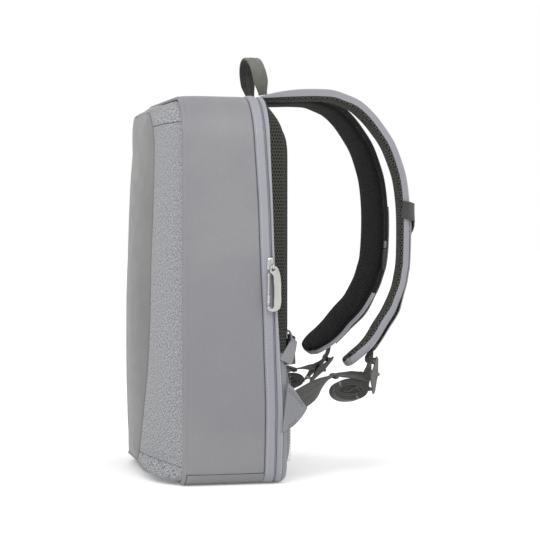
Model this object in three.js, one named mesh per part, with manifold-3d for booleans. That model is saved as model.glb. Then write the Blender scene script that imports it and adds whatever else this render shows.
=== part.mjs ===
// Slim backpack with a hidden zip, seen standing on its flat base.
// Millimetres. +X is the wearer's right side, -Y the front, +Y the straps, +Z up.
// The origin is the middle of the base.
import * as THREE from "three";
import { mergeVertices } from "three/addons/utils/BufferGeometryUtils.js";
import Module from "manifold-3d";

const wasm = await Module();
wasm.setup();

// Body
const WIDTH = 300;
const HEIGHT = 450;
const CROWN_RADIUS = 48; // corners of the outline at the top
const FOOT_RADIUS = 22; // corners of the outline at the foot
const FRONT_Y = -55; // plane of the front rim
const DEPTH_TOP = 103; // rim to back wall, upper half
const DEPTH_FOOT = 115; // rim to back wall, at the foot
const FLARE_FROM = 270; // height where the body starts to deepen
const FLARE_TO = 50; // height where it is at its deepest
const CLOTH = 3; // lined and stiffened cloth
const CLEARANCE = 0.3; // between pieces that touch
const FOOT_SEAM = 13; // height of the seam above the base

// Front
const RIM_WIDTH = 4.4;
const RIM_PROUD = 2;
const PANEL_TOP = HEIGHT - 17; // top edge of the front panel
const PANEL_FOOT = 18; // lower edge of the front panel
const PANEL_CROWN_RADIUS = 30;
const PANEL_FOOT_RADIUS = 12;
const PANEL_REACH = 44.6; // rim plane to the furthest point of the panel
const BAND_CROWN = 4; // swell of the sloping bands
const BAND_CROWN_FOOT = 9; // swell of the band at the foot

// Zip band
const ZIP_FLAP = 12; // width of the padded lip in front of the slit
const ZIP_SLIT = 2.2;
const REAR_FLAP = 4.5; // width of the lip behind the slit
const REAR_FLAP_FOOT = 8.5; // the same at the foot
const FLAP_THICK = 4;
const FLAP_SWELL = 1.9;
const TAPE_WIDTH = 12;
const TAPE_THICK = 1;

// Back
const BACK_PLANE = 68; // outer face of the back wall
const BACK_EDGE_SIDE = 24; // rounding of the back wall along the sides
const BACK_EDGE_TOP = 12;
const BACK_EDGE_FOOT = 16;
const BACK_DIP = 15; // fall of the back wall's plane towards the crown
const DIP_START = HEIGHT - 78; // height where it starts to fall
const DIP_RUN = 60; // rise over which it falls by BACK_DIP
const PAD_WIDTH = 256;
const PAD_FOOT = 158;
const PAD_TOP = HEIGHT - 34;
const PAD_THICK = 13; // at its two crests
const LOWER_PAD_WIDTH = 250;
const LOWER_PAD_FOOT = 14;
const LOWER_PAD_TOP = 136;
const LOWER_PAD_THICK = 8;
const LOWER_PAD_RADIUS = 20;

// Band for a trolley handle
const LUGGAGE_WIDTH = 30;
const LUGGAGE_Z = 154;
const LUGGAGE_THICK = 1.8;
const LUGGAGE_REACH = 18.5; // back plane to the middle of the band
const LUGGAGE_HALF = 134;
const LUGGAGE_END_THICK = 2.5;

// Top handle
const HANDLE_WEB = 18;
const HANDLE_THICK = 4;
const HANDLE_SPAN = 76; // between its legs
const HANDLE_RISE = 45;
const HANDLE_Y = 60;
const HANDLE_LEAN = 8; // how far the handle's top leans to the front

// Shoulder straps
const STRAP_WIDTH = 62;
const STRAP_THICK = 15;
const STRAP_ROOT_THICK = 4.6;
const STRAP_ROOT_Y = 52;
const STRAP_ROOT_X = 49;
const STRAP_SPLAY = 54; // sideways run from root to end
const STRAP_REACH = 176.5; // root to the furthest point of the curve
const STRAP_DROP = 313; // root to end
const COVER_THICK = 1.4; // strip sewn on the strap's outer face
const LOOP_WIDTH = 21; // elastic loop across the strap
const PULL_LENGTH = 33; // pull of the strap's small zip

// Webbing and adjusters
const WEB_WIDTH = 25;
const WEB_THICK = 1.6;
const ADJUSTER_LENGTH = 46;
const ADJUSTER_WIDTH = 35;
const ADJUSTER_RAIL = 4.4;
const ADJUSTER_BAR = 2;
const ROLL_LENGTH = 45;
const ROLL_HEIGHT = 28;
const TAB_THICK = 3;
const TAB_HEIGHT = 50;
const TAB_REACH = 30;
const TAB_Z = 93;

// Zip slider and snap hook
const SLIDER_TOP = 262.8;
const SLIDER_LENGTH = 13.4;
const SLIDER_WIDTH = 9;
const SLIDER_PROUD = 2.6;
const BAIL_RADIUS = 3;
const BAIL_WIRE = 0.7;
const HOOK_LENGTH = 53;
const HOOK_WIDTH = 14.2;
const HOOK_THICK = 3;
const HOOK_EYE = 2;
const GATE_ROD = 1.1;

const HALF = WIDTH / 2;
const QUARTER = Math.PI / 2;

const finish = {
  shell: new THREE.MeshStandardMaterial({ color: 0x929296, roughness: 0.75 }),
  heather: new THREE.MeshStandardMaterial({ color: 0x86868a, roughness: 0.9 }),
  panel: new THREE.MeshStandardMaterial({ color: 0x8c8c8a, roughness: 0.7 }),
  flap: new THREE.MeshStandardMaterial({ color: 0xa0a1aa, roughness: 0.65 }),
  tape: new THREE.MeshStandardMaterial({ color: 0x2a2a2c, roughness: 0.8 }),
  mesh: new THREE.MeshStandardMaterial({ color: 0x32332f, roughness: 0.95 }),
  webbing: new THREE.MeshStandardMaterial({ color: 0x4b4c49, roughness: 0.85 }),
  handle: new THREE.MeshStandardMaterial({ color: 0x66665f, roughness: 0.85 }),
  elastic: new THREE.MeshStandardMaterial({ color: 0x3c3c3b, roughness: 0.85 }),
  buckle: new THREE.MeshStandardMaterial({ color: 0x6f706c, roughness: 0.5 }),
  rubber: new THREE.MeshStandardMaterial({ color: 0x1c1c1d, roughness: 0.7 }),
  metal: new THREE.MeshStandardMaterial({ color: 0xa5a6a2, roughness: 0.35, metalness: 1 }),
};

const lerp = THREE.MathUtils.lerp;
const vec = (x, y, z) => new THREE.Vector3(x, y, z);
const smooth = (t) => THREE.MathUtils.smoothstep(t, 0, 1);

// Straight-line reading of a table of [position, value, value, ...] rows.
function read(table, position, column) {
  const last = table.length - 1;
  const low = table[0][0];
  if (position <= low) return table[0][column];
  for (let i = 1; i <= last; i++) {
    const [from, to] = [table[i - 1], table[i]];
    if (position <= to[0]) {
      return lerp(from[column], to[column], (position - from[0]) / (to[0] - from[0]));
    }
  }
  return table[last][column];
}

const piece = new THREE.Group();

// Turns loose triangles into one closed mesh and adds it to the group.
function addSolid(name, triangles, material, parent = piece) {
  const flat = [];
  for (const [a, b, c] of triangles) {
    const same = a.distanceTo(b) < 1e-5 || b.distanceTo(c) < 1e-5 || c.distanceTo(a) < 1e-5;
    if (!same) flat.push(a.x, a.y, a.z, b.x, b.y, b.z, c.x, c.y, c.z);
  }
  const loose = new THREE.BufferGeometry();
  loose.setAttribute("position", new THREE.Float32BufferAttribute(flat, 3));
  const geometry = mergeVertices(loose, 1e-4);
  if (signedVolume(geometry) < 0) {
    const order = geometry.index.array;
    for (let i = 0; i < order.length; i += 3) {
      [order[i + 1], order[i + 2]] = [order[i + 2], order[i + 1]];
    }
  }
  geometry.computeVertexNormals();
  return addMesh(name, geometry, material, parent);
}

function addMesh(name, geometry, material, parent = piece) {
  const mesh = new THREE.Mesh(geometry, material);
  mesh.name = name;
  parent.add(mesh);
  return mesh;
}

function signedVolume(geometry) {
  const at = geometry.attributes.position;
  const order = geometry.index.array;
  const [a, b, c] = [vec(), vec(), vec()];
  let volume = 0;
  for (let i = 0; i < order.length; i += 3) {
    a.fromBufferAttribute(at, order[i]);
    b.fromBufferAttribute(at, order[i + 1]);
    c.fromBufferAttribute(at, order[i + 2]);
    volume += a.dot(b.cross(c)) / 6;
  }
  return volume;
}

// Skin between two rows of points.
function strip(triangles, row, next) {
  for (let i = 0; i < row.length; i++) {
    const j = (i + 1) % row.length;
    if (row[i].distanceTo(next[j]) <= row[j].distanceTo(next[i])) {
      triangles.push([row[i], row[j], next[j]], [row[i], next[j], next[i]]);
    } else {
      triangles.push([row[i], row[j], next[i]], [row[j], next[j], next[i]]);
    }
  }
}

// Flat or nearly flat end of a loft: the section's outline gives the triangles.
function cap(triangles, ring, outline, flip) {
  for (const [a, b, c] of THREE.ShapeUtils.triangulateShape(outline, [])) {
    triangles.push(flip ? [ring[a], ring[c], ring[b]] : [ring[a], ring[b], ring[c]]);
  }
}

// Loft through rings of points. The outline is the section in its own plane.
function loft(name, rings, outline, material, closed = false, parent = piece) {
  const triangles = [];
  const count = closed ? rings.length : rings.length - 1;
  for (let i = 0; i < count; i++) strip(triangles, rings[i], rings[(i + 1) % rings.length]);
  if (!closed) {
    const clockwise = THREE.ShapeUtils.isClockWise(outline);
    const turned = clockwise ? [...outline].reverse() : outline;
    const order = (ring) => (clockwise ? [...ring].reverse() : ring);
    cap(triangles, order(rings[0]), turned, !clockwise);
    cap(triangles, order(rings[rings.length - 1]), turned, clockwise);
  }
  return addSolid(name, triangles, material, parent);
}

// Body outline seen from the front, in five runs from the middle of the base to the middle
// of the crown: base, foot corner, side, crown corner, top. The other half is its mirror image.
const RUN_STEPS = [2, 4, 7, 6, 3];
const [BASE_RUN, FOOT_CORNER, , CROWN_CORNER, TOP_RUN] = RUN_STEPS.keys();

function corner(cx, cz, radius, angle) {
  const [nx, nz] = [Math.cos(angle), Math.sin(angle)];
  return { x: cx + radius * nx, z: cz + radius * nz, nx, nz };
}

function bodyEdge({ run, t, side }) {
  const at = [
    () => ({ x: t * (HALF - FOOT_RADIUS), z: 0, nx: 0, nz: -1 }),
    () => corner(HALF - FOOT_RADIUS, FOOT_RADIUS, FOOT_RADIUS, (t - 1) * QUARTER),
    () => ({ x: HALF, z: lerp(FOOT_RADIUS, HEIGHT - CROWN_RADIUS, t), nx: 1, nz: 0 }),
    () => corner(HALF - CROWN_RADIUS, HEIGHT - CROWN_RADIUS, CROWN_RADIUS, t * QUARTER),
    () => ({ x: (1 - t) * (HALF - CROWN_RADIUS), z: HEIGHT, nx: 0, nz: 1 }),
  ][run]();
  return { x: at.x * side, z: at.z, nx: at.nx * side, nz: at.nz };
}

// Edge of the front panel: columns are the share of the body's height, the half width as a share
// of the body's, and the distance from the rim plane as a share of PANEL_REACH.
const PANEL_EDGE = [
  [0.044, 0.253, 0.87],
  [0.087, 0.32, 0.835],
  [0.147, 0.38, 0.8],
  [0.211, 0.44, 0.765],
  [0.296, 0.493, 0.71],
  [0.378, 0.513, 0.675],
  [0.458, 0.517, 0.65],
  [0.576, 0.527, 0.63],
  [0.722, 0.553, 0.585],
  [0.867, 0.58, 0.565],
  [0.962, 0.58, 0.63],
];

// Middle of the front panel: share of the body's height, distance from the rim plane.
const PANEL_MIDDLE = [
  [0.053, 0.87],
  [0.102, 0.945],
  [0.187, 0.98],
  [0.322, 1],
  [0.46, 0.995],
  [0.589, 0.945],
  [0.704, 0.9],
  [0.78, 0.855],
  [0.882, 0.74],
  [0.929, 0.675],
  [0.962, 0.635],
];

function panelEdge({ run, t, side }) {
  const halfAt = (z) => HALF * read(PANEL_EDGE, z / HEIGHT, 1);
  const low = PANEL_FOOT + PANEL_FOOT_RADIUS;
  const high = PANEL_TOP - PANEL_CROWN_RADIUS;
  const [lowHalf, highHalf] = [halfAt(low), halfAt(high)];
  const at = [
    () => ({ x: t * (lowHalf - PANEL_FOOT_RADIUS), z: PANEL_FOOT }),
    () => corner(lowHalf - PANEL_FOOT_RADIUS, low, PANEL_FOOT_RADIUS, (t - 1) * QUARTER),
    () => ({ x: halfAt(lerp(low, high, t)), z: lerp(low, high, t) }),
    () => corner(highHalf - PANEL_CROWN_RADIUS, high, PANEL_CROWN_RADIUS, t * QUARTER),
    () => ({ x: (1 - t) * (highHalf - PANEL_CROWN_RADIUS), z: PANEL_TOP }),
  ][run]();
  return vec(at.x * side, FRONT_Y - PANEL_REACH * read(PANEL_EDGE, at.z / HEIGHT, 2), at.z);
}

// Stations round the outline, from the middle of the base up the right side, over the top and
// down the left side.
function halfStations(side) {
  const list = [];
  RUN_STEPS.forEach((steps, run) => {
    for (let i = 0; i < steps; i++) list.push({ run, t: i / steps, side });
  });
  list.push({ run: TOP_RUN, t: 1, side });
  return list;
}

const rightHalf = halfStations(1);
const leftHalf = halfStations(-1).reverse();
const allRound = [...rightHalf, ...leftHalf.slice(1, -1)];

// Place of a height on the foot corner.
function footCornerAt(z) {
  return 1 + Math.asin((z - FOOT_RADIUS) / FOOT_RADIUS) / QUARTER;
}

const beyond = (t) => (s) => s.run > FOOT_CORNER || (s.run === FOOT_CORNER && s.t > t + 0.02);
const seamAbove = footCornerAt(FOOT_SEAM + CLEARANCE / 2);
const seamBelow = footCornerAt(FOOT_SEAM - CLEARANCE / 2);
const overTop = [
  { run: FOOT_CORNER, t: seamAbove, side: 1 },
  ...rightHalf.filter(beyond(seamAbove)),
  ...leftHalf.slice(1).filter(beyond(seamAbove)),
  { run: FOOT_CORNER, t: seamAbove, side: -1 },
];
const underFoot = [
  { run: FOOT_CORNER, t: seamBelow, side: -1 },
  ...leftHalf.filter((s) => !beyond(seamBelow - 0.04)(s)),
  ...rightHalf.slice(1).filter((s) => !beyond(seamBelow - 0.04)(s)),
  { run: FOOT_CORNER, t: seamBelow, side: 1 },
];

// Depth of the body and the lines of the zip band at a height.
const flare = (z) => 1 - smooth((z - FLARE_TO) / (FLARE_FROM - FLARE_TO));
const backY = (z) => FRONT_Y + lerp(DEPTH_TOP, DEPTH_FOOT, flare(z));
const zipY = (z) => backY(z) - lerp(REAR_FLAP, REAR_FLAP_FOOT, smooth((FLARE_TO * 2.4 - z) / 70));
const flapSeamY = (z) => zipY(z) - ZIP_FLAP;

// A strip of cloth that follows the outline: section(z) gives [inset, y] pairs.
function outlineStrip(name, stations, section, material, closed = false) {
  const rings = stations.map((station) => {
    const edge = bodyEdge(station);
    return section(edge.z).map(([inset, y]) => vec(edge.x - inset * edge.nx, y, edge.z - inset * edge.nz));
  });
  const outline = section(HEIGHT).map(([inset, y]) => new THREE.Vector2(inset, y));
  loft(name, rings, outline, material, closed);
}

function addShell() {
  const rimBack = FRONT_Y + CLOTH;
  const gussetFront = rimBack + CLEARANCE;
  outlineStrip(
    "front_rim",
    allRound,
    () => [
      [0.1, rimBack],
      [0.1, FRONT_Y],
      [RIM_WIDTH * 0.25, FRONT_Y - RIM_PROUD],
      [RIM_WIDTH * 0.8, FRONT_Y - RIM_PROUD],
      [RIM_WIDTH, FRONT_Y - RIM_PROUD * 0.3],
      [RIM_WIDTH, rimBack],
    ],
    finish.shell,
    true,
  );
  outlineStrip(
    "side_gusset",
    overTop,
    (z) => {
      const end = flapSeamY(z) - CLEARANCE / 2;
      return [
        [0, gussetFront],
        [-0.6, lerp(gussetFront, end, 0.4)],
        [-0.6, lerp(gussetFront, end, 0.75)],
        [0.4, end],
        [CLOTH, end],
        [CLOTH, gussetFront],
      ];
    },
    finish.shell,
  );
  outlineStrip(
    "bottom_gusset",
    underFoot,
    (z) => [
      [0, gussetFront],
      [0, backY(z)],
      [CLOTH, backY(z)],
      [CLOTH, gussetFront],
    ],
    finish.shell,
  );
  outlineStrip(
    "zip_flap_front",
    overTop,
    (z) => {
      const from = flapSeamY(z) + CLEARANCE / 2;
      const to = zipY(z) - ZIP_SLIT / 2;
      return [
        [0.4, from],
        [-0.75 * FLAP_SWELL, lerp(from, to, 0.2)],
        [-FLAP_SWELL, lerp(from, to, 0.5)],
        [-0.6 * FLAP_SWELL, lerp(from, to, 0.82)],
        [0.5, to],
        [FLAP_THICK, to],
        [FLAP_THICK, from],
      ];
    },
    finish.flap,
  );
  outlineStrip(
    "zip_flap_rear",
    overTop,
    (z) => {
      const from = zipY(z) + ZIP_SLIT / 2;
      const to = backY(z);
      return [
        [0.5, from],
        [-0.4 * FLAP_SWELL, lerp(from, to, 0.5)],
        [0.2, to],
        [FLAP_THICK, to],
        [FLAP_THICK, from],
      ];
    },
    finish.flap,
  );
  outlineStrip(
    "zip_tape",
    overTop,
    (z) => {
      const top = FLAP_THICK + CLEARANCE;
      const to = backY(z) - CLEARANCE;
      return [
        [top, to - TAPE_WIDTH],
        [top, to],
        [top + TAPE_THICK, to],
        [top + TAPE_THICK, to - TAPE_WIDTH],
      ];
    },
    finish.tape,
  );
}

// Sloping bands between the rim and the front panel, cut on the diagonals of the corners.
function bandSection(station) {
  const edge = bodyEdge(station);
  const inset = RIM_WIDTH + CLEARANCE;
  const outer = vec(edge.x - inset * edge.nx, FRONT_Y + CLEARANCE, edge.z - inset * edge.nz);
  const inner = panelEdge(station);
  const across = vec(outer.x - inner.x, 0, outer.z - inner.z);
  const run = across.length();
  across.normalize();
  const fall = outer.y - inner.y;
  const normal = across.clone().multiplyScalar(fall).add(vec(0, -run, 0)).normalize();
  const footward = station.run === BASE_RUN ? 1 : station.run === FOOT_CORNER ? 1 - station.t : 0;
  const swell = lerp(BAND_CROWN, BAND_CROWN_FOOT, smooth(footward));
  const top = [0, 0.25, 0.5, 0.75, 1].map((share) => {
    const lift = swell * Math.sin(Math.PI * share);
    return outer.clone().lerp(inner, share).addScaledVector(normal, lift);
  });
  const below = top.map((point, i) => {
    const share = i / (top.length - 1);
    const inward = normal.clone().multiplyScalar(-CLOTH);
    return point.clone().add(inward.lerp(vec(0, CLOTH, 0), share ** 3));
  });
  return [...top, ...below.reverse()];
}

// Outline of a band's section, used for its two ends.
function bandOutline(ring) {
  const middle = ring[0].clone().lerp(ring[4], 0.5);
  return ring.map((p) => {
    const away = Math.hypot(p.x, p.z - HEIGHT / 2) - Math.hypot(middle.x, middle.z - HEIGHT / 2);
    return new THREE.Vector2(away, p.y);
  });
}

function addBand(name, stations) {
  const rings = stations.map(bandSection);
  const pull = (ring, next) => {
    const along = next[2].clone().sub(ring[2]).normalize();
    ring.forEach((point) => point.addScaledVector(along, CLEARANCE / 2));
  };
  pull(rings[0], rings[1]);
  pull(rings[rings.length - 1], rings[rings.length - 2]);
  loft(name, rings, bandOutline(rings[0]), finish.heather);
}

function addFront() {
  const crownMid = { run: CROWN_CORNER, t: 0.5 };
  const footMid = { run: FOOT_CORNER, t: 0.5 };
  const order = (s) => s.run + s.t;
  const between = (list, low, high) => list.filter((s) => order(s) >= order(low) && order(s) <= order(high));
  const sideRun = (half) => between(half, footMid, crownMid);
  addBand("band_right", sideRun(rightHalf));
  addBand("band_left", sideRun(leftHalf));
  const end = { run: TOP_RUN, t: 1 };
  addBand("band_top", [...between(rightHalf, crownMid, end), ...between(leftHalf, crownMid, end).slice(1)]);
  const start = { run: BASE_RUN, t: 0 };
  addBand("band_bottom", [...between(leftHalf, start, footMid), ...between(rightHalf, start, footMid).slice(1)]);
  addPanel();
}

// Domed panel: rings shrink from its edge to a line up its middle.
function addPanel() {
  const spineLow = PANEL_FOOT + PANEL_FOOT_RADIUS * 2.5;
  const spineHigh = PANEL_TOP - PANEL_CROWN_RADIUS * 1.5;
  const spine = (z) => {
    const at = THREE.MathUtils.clamp(z, spineLow, spineHigh);
    return vec(0, FRONT_Y - PANEL_REACH * read(PANEL_MIDDLE, at / HEIGHT, 1), at);
  };
  const ring = (share, back) =>
    allRound.map((station) => {
      const edge = panelEdge(station);
      const middle = spine(edge.z);
      const inset = (CLEARANCE * 1.4) / edge.distanceTo(middle);
      const point = edge.clone().lerp(middle, lerp(1, inset, share));
      point.y = lerp(middle.y, edge.y, share ** 2.4) + back;
      return point;
    });
  const shares = [0, 0.3, 0.6, 0.82, 1];
  const rings = [...shares.map((s) => ring(s, 0)), ...shares.reverse().map((s) => ring(s, CLOTH))];
  const triangles = [];
  for (let i = 1; i < rings.length; i++) strip(triangles, rings[i - 1], rings[i]);
  addSolid("front_panel", triangles, finish.panel);
}

// Back wall: a rounded edge round a flat middle.
function backRounding({ run, t }) {
  const footSide = lerp(BACK_EDGE_FOOT, BACK_EDGE_SIDE, 0.25);
  return [
    BACK_EDGE_FOOT,
    lerp(BACK_EDGE_FOOT, footSide, t),
    lerp(footSide, BACK_EDGE_SIDE, Math.min(1, t * 4)),
    lerp(BACK_EDGE_SIDE, BACK_EDGE_TOP, t),
    BACK_EDGE_TOP,
  ][run];
}

// Plane of the back wall at a height. Near the crown it leans in towards the zip band.
function backPlane(z) {
  const fall = Math.max(0, (z - DIP_START) / DIP_RUN) ** 3;
  return Math.max(backY(z) + CLEARANCE + CLOTH + 1, BACK_PLANE - BACK_DIP * fall);
}

const BACK_PROFILE = [
  [0, 0],
  [0.13, 0.5],
  [0.45, 0.85],
  [1, 1],
];

function addBack() {
  const ring = ([across, out], inner) =>
    allRound.map((station) => {
      const edge = bodyEdge(station);
      const start = backY(edge.z) + CLEARANCE;
      const inset = CLEARANCE + across * backRounding(station) + inner * CLOTH * (1 - across);
      const z = edge.z - inset * edge.nz;
      const y = lerp(start, backPlane(z), out) - inner * CLOTH * out;
      return vec(edge.x - inset * edge.nx, y, z);
    });
  const spine = (y) =>
    allRound.map((station) => {
      const { z } = bodyEdge(station);
      return vec(0, y, THREE.MathUtils.clamp(z, HEIGHT * 0.3, HEIGHT * 0.7));
    });
  const middle = (share, inner) =>
    ring([1, 1], inner).map((point, i) => {
      const at = point.clone().lerp(spine(BACK_PLANE)[i], share);
      at.y = backPlane(at.z) - inner * CLOTH;
      return at;
    });
  const face = (inner) => [
    ...BACK_PROFILE.map((row) => ring(row, inner)),
    ...[0.1, 0.2, 0.32, 0.5].map((share) => middle(share, inner)),
  ];
  const outside = face(0);
  const inside = face(1).reverse();
  const rings = [...inside, ...outside];
  rings.unshift(spine(BACK_PLANE - CLOTH));
  rings.push(spine(BACK_PLANE));
  const triangles = [];
  for (let i = 1; i < rings.length; i++) strip(triangles, rings[i - 1], rings[i]);
  addSolid("back_panel", triangles, finish.shell);
  addBackPad();
  addLowerPad();
}

// Mesh pad. Columns: share of half the width, share of the thickness.
const PAD_SECTION = [
  [1, 0.06],
  [0.93, 0.15],
  [0.7, 0.56],
  [0.47, 1],
  [0.25, 0.85],
  [0.06, 0.42],
];

function addBackPad() {
  const seat = (z) => backPlane(z) + CLEARANCE * (z > DIP_START ? 2 : 1);
  const half = PAD_WIDTH / 2;
  const right = PAD_SECTION.map(([x, y]) => [x * half, y]);
  const left = right.map(([x, y]) => [-x, y]).reverse();
  const profile = [[half, 0], ...right, ...left, [-half, 0]];
  const rows = [
    [0, 0.3],
    [0.02, 0.65],
    [0.07, 0.95],
    [0.2, 1],
    [0.5, 1],
    [0.8, 1],
    [0.87, 0.97],
    [0.93, 0.9],
    [0.98, 0.6],
    [1, 0.3],
  ];
  const rings = rows.map(([height, swell]) => {
    const z = lerp(PAD_FOOT, PAD_TOP, height);
    return profile.map(([x, y]) => vec(x, seat(z) + y * swell * PAD_THICK, z));
  });
  const outline = profile.map(([x, y]) => new THREE.Vector2(x, y * PAD_THICK));
  loft("back_pad", rings, outline, finish.mesh);
}

function addLowerPad() {
  const seat = BACK_PLANE + CLEARANCE;
  const steps = 4;
  const ring = (inset, y) => {
    const points = [];
    const radius = LOWER_PAD_RADIUS - inset;
    const x = LOWER_PAD_WIDTH / 2 - LOWER_PAD_RADIUS;
    const [low, high] = [LOWER_PAD_FOOT + LOWER_PAD_RADIUS, LOWER_PAD_TOP - LOWER_PAD_RADIUS];
    const corners = [[x, high, 0], [-x, high, 1], [-x, low, 2], [x, low, 3]];
    for (const [cx, cz, turn] of corners) {
      for (let i = 0; i <= steps; i++) {
        const angle = (turn + i / steps) * QUARTER;
        points.push(vec(cx + radius * Math.cos(angle), y, cz + radius * Math.sin(angle)));
      }
    }
    return points;
  };
  const rows = [
    [0, 0],
    [0.5, 0.45],
    [4, 0.85],
    [13, 1],
  ];
  const rings = rows.map(([inset, share]) => ring(inset, seat + share * LOWER_PAD_THICK));
  const outline = rings[0].map((p) => new THREE.Vector2(p.x, p.z));
  loft("lower_back_pad", rings, outline, finish.shell);
}

// Flat strip through stations { at, across, out, width, thick }: across is the direction of its
// width, out the direction of its thickness.
function ribbonRings(stations) {
  return stations.map(({ at, across, out, width, thick }) => {
    const corners = [[-1, -1], [1, -1], [1, 1], [-1, 1]];
    return corners.map(([a, b]) =>
      at.clone().addScaledVector(across, (a * width) / 2).addScaledVector(out, (b * thick) / 2),
    );
  });
}

const SQUARE = [[-1, -1], [1, -1], [1, 1], [-1, 1]].map(([x, y]) => new THREE.Vector2(x, y));

// Strip whose width lies along a given direction at each point of its path.
function addRibbon(name, path, width, thick, material) {
  const stations = path.map(({ at, across, width: own }, i) => {
    const before = path[Math.max(0, i - 1)].at;
    const after = path[Math.min(path.length - 1, i + 1)].at;
    const along = after.clone().sub(before).normalize();
    const wide = across.clone().normalize();
    const out = wide.clone().cross(along).normalize();
    return { at, across: wide, out, width: own ?? width, thick };
  });
  loft(name, ribbonRings(stations), SQUARE, material);
}

// Elastic band across the back, its cloth ends, and a small loop over the near end.
function addLuggageBand() {
  const up = vec(0, 0, 1);
  const rows = [
    [1, 0.51],
    [0.88, 0.74],
    [0.67, 0.93],
    [0.35, 1],
    [0, 1],
    [-0.35, 1],
    [-0.67, 0.93],
    [-0.88, 0.74],
    [-1, 0.51],
  ];
  const path = rows.map(([across, out]) => ({
    at: vec(across * LUGGAGE_HALF, BACK_PLANE + out * LUGGAGE_REACH, LUGGAGE_Z),
    across: up,
  }));
  addRibbon("luggage_band", path, LUGGAGE_WIDTH, LUGGAGE_THICK, finish.elastic);
  for (const [word, side] of [["right", 1], ["left", -1]]) {
    const wall = backY(LUGGAGE_Z);
    const join = BACK_PLANE + 0.51 * LUGGAGE_REACH;
    const slant = vec(0, 0.25, 1);
    const end = [
      [HALF + 1.1, wall + 4.6, -9, slant],
      [HALF - 1.2, lerp(wall, join, 0.5), -5, slant],
      [HALF - 7, lerp(wall, join, 0.83), -1, up],
      [LUGGAGE_HALF + 1.2, join + 0.2, 0, up],
    ];
    addRibbon(
      "luggage_end_" + word,
      end.map(([x, y, drop, across], i) => ({
        at: vec(side * x, y, LUGGAGE_Z + drop),
        across,
        width: LUGGAGE_WIDTH * (0.62 + 0.13 * i),
      })),
      LUGGAGE_WIDTH,
      LUGGAGE_END_THICK,
      finish.shell,
    );
  }
}

function addTopHandle(strapTop) {
  const rows = [
    [1, 0],
    [1.05, 0.33],
    [0.98, 0.64],
    [0.7, 0.88],
    [0.25, 1],
    [-0.25, 1],
    [-0.7, 0.88],
    [-0.98, 0.64],
    [-1.05, 0.33],
    [-1, 0],
  ];
  const [front, rear] = [HANDLE_Y - HANDLE_WEB / 2, HANDLE_Y + HANDLE_WEB / 2];
  const slope = (strapTop(rear) - strapTop(front)) / HANDLE_WEB;
  const foot = strapTop(HANDLE_Y) + CLEARANCE * 2;
  const path = rows.map(([across, rise], i) => {
    const grounded = i === 0 || i === rows.length - 1;
    const lean = -HANDLE_LEAN * rise;
    return {
      at: vec((across * HANDLE_SPAN) / 2, HANDLE_Y + lean, foot + rise * HANDLE_RISE),
      across: vec(0, 1, grounded ? slope : 0),
      width: HANDLE_WEB * lerp(0.6, 1, smooth(rise * 2.4)),
    };
  });
  addRibbon("top_handle", path, HANDLE_WEB, HANDLE_THICK, finish.handle);
}

// Shoulder strap's middle line. Columns: share of the reach, share of the drop, share of the
// splay, share of the full thickness, share of the full width.
const STRAP_LINE = [
  [0, 0, 0, 0, 0.9],
  [0.057, -0.003, 0, 0.4, 0.95],
  [0.164, -0.009, 0, 0.8, 1],
  [0.289, -0.014, 0.01, 1, 1],
  [0.385, -0.016, 0.02, 1, 1],
  [0.487, -0.014, 0.04, 1, 1],
  [0.564, -0.002, 0.07, 1, 1],
  [0.663, 0.022, 0.12, 1, 1],
  [0.75, 0.064, 0.16, 1, 1],
  [0.823, 0.115, 0.2, 1, 1],
  [0.893, 0.176, 0.24, 1, 1],
  [0.946, 0.252, 0.27, 1, 1],
  [0.978, 0.319, 0.29, 1, 1],
  [0.997, 0.415, 0.3, 1, 1],
  [1, 0.518, 0.31, 1, 1],
  [0.992, 0.62, 0.35, 1, 1],
  [0.972, 0.68, 0.42, 1, 1],
  [0.94, 0.738, 0.5, 1, 1],
  [0.872, 0.811, 0.6, 1, 1],
  [0.793, 0.869, 0.76, 1, 1],
  [0.728, 0.917, 0.87, 1, 1],
  [0.671, 0.95, 0.94, 0.95, 0.97],
  [0.612, 0.976, 0.98, 0.85, 0.86],
  [0.57, 0.994, 1, 0.7, 0.66],
  [0.552, 1, 1, 0.55, 0.42],
];
const STRAP_ROLL = 12; // degrees that the strap's outer edge turns towards the body at its end

function strapMiddle([reach, drop, splay], side) {
  const rootZ = HEIGHT - 0.8 + CLEARANCE + STRAP_ROOT_THICK / 2;
  return vec(
    side * (STRAP_ROOT_X + splay * STRAP_SPLAY),
    STRAP_ROOT_Y + reach * STRAP_REACH,
    rootZ - drop * STRAP_DROP,
  );
}

function strapFrames(side) {
  const points = STRAP_LINE.map((row) => strapMiddle(row, side));
  return points.map((at, i) => {
    const [, , , fill, spread] = STRAP_LINE[i];
    const before = points[Math.max(0, i - 1)];
    const after = points[Math.min(points.length - 1, i + 1)];
    const along = after.clone().sub(before).normalize();
    const right = vec(1, 0, 0);
    const across = right.addScaledVector(along, -right.dot(along)).normalize();
    const roll = THREE.MathUtils.degToRad(STRAP_ROLL) * smooth(i / 16);
    across.applyAxisAngle(along, side * roll);
    const out = across.clone().cross(along).normalize();
    const width = STRAP_WIDTH * spread;
    const thick = lerp(STRAP_ROOT_THICK, STRAP_THICK, fill);
    return { at, along, across, out, width, thick };
  });
}

// Rounded half of the strap's section: share of half the width, share of half the thickness.
const STRAP_HALF = [
  [-1, 0.1],
  [-1, 0.5],
  [-0.86, 0.93],
  [0, 1],
  [0.86, 0.93],
  [1, 0.5],
  [1, 0.1],
];

function strapPoint(frame, across, out) {
  return frame.at.clone().addScaledVector(frame.across, across).addScaledVector(frame.out, out);
}

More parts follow.
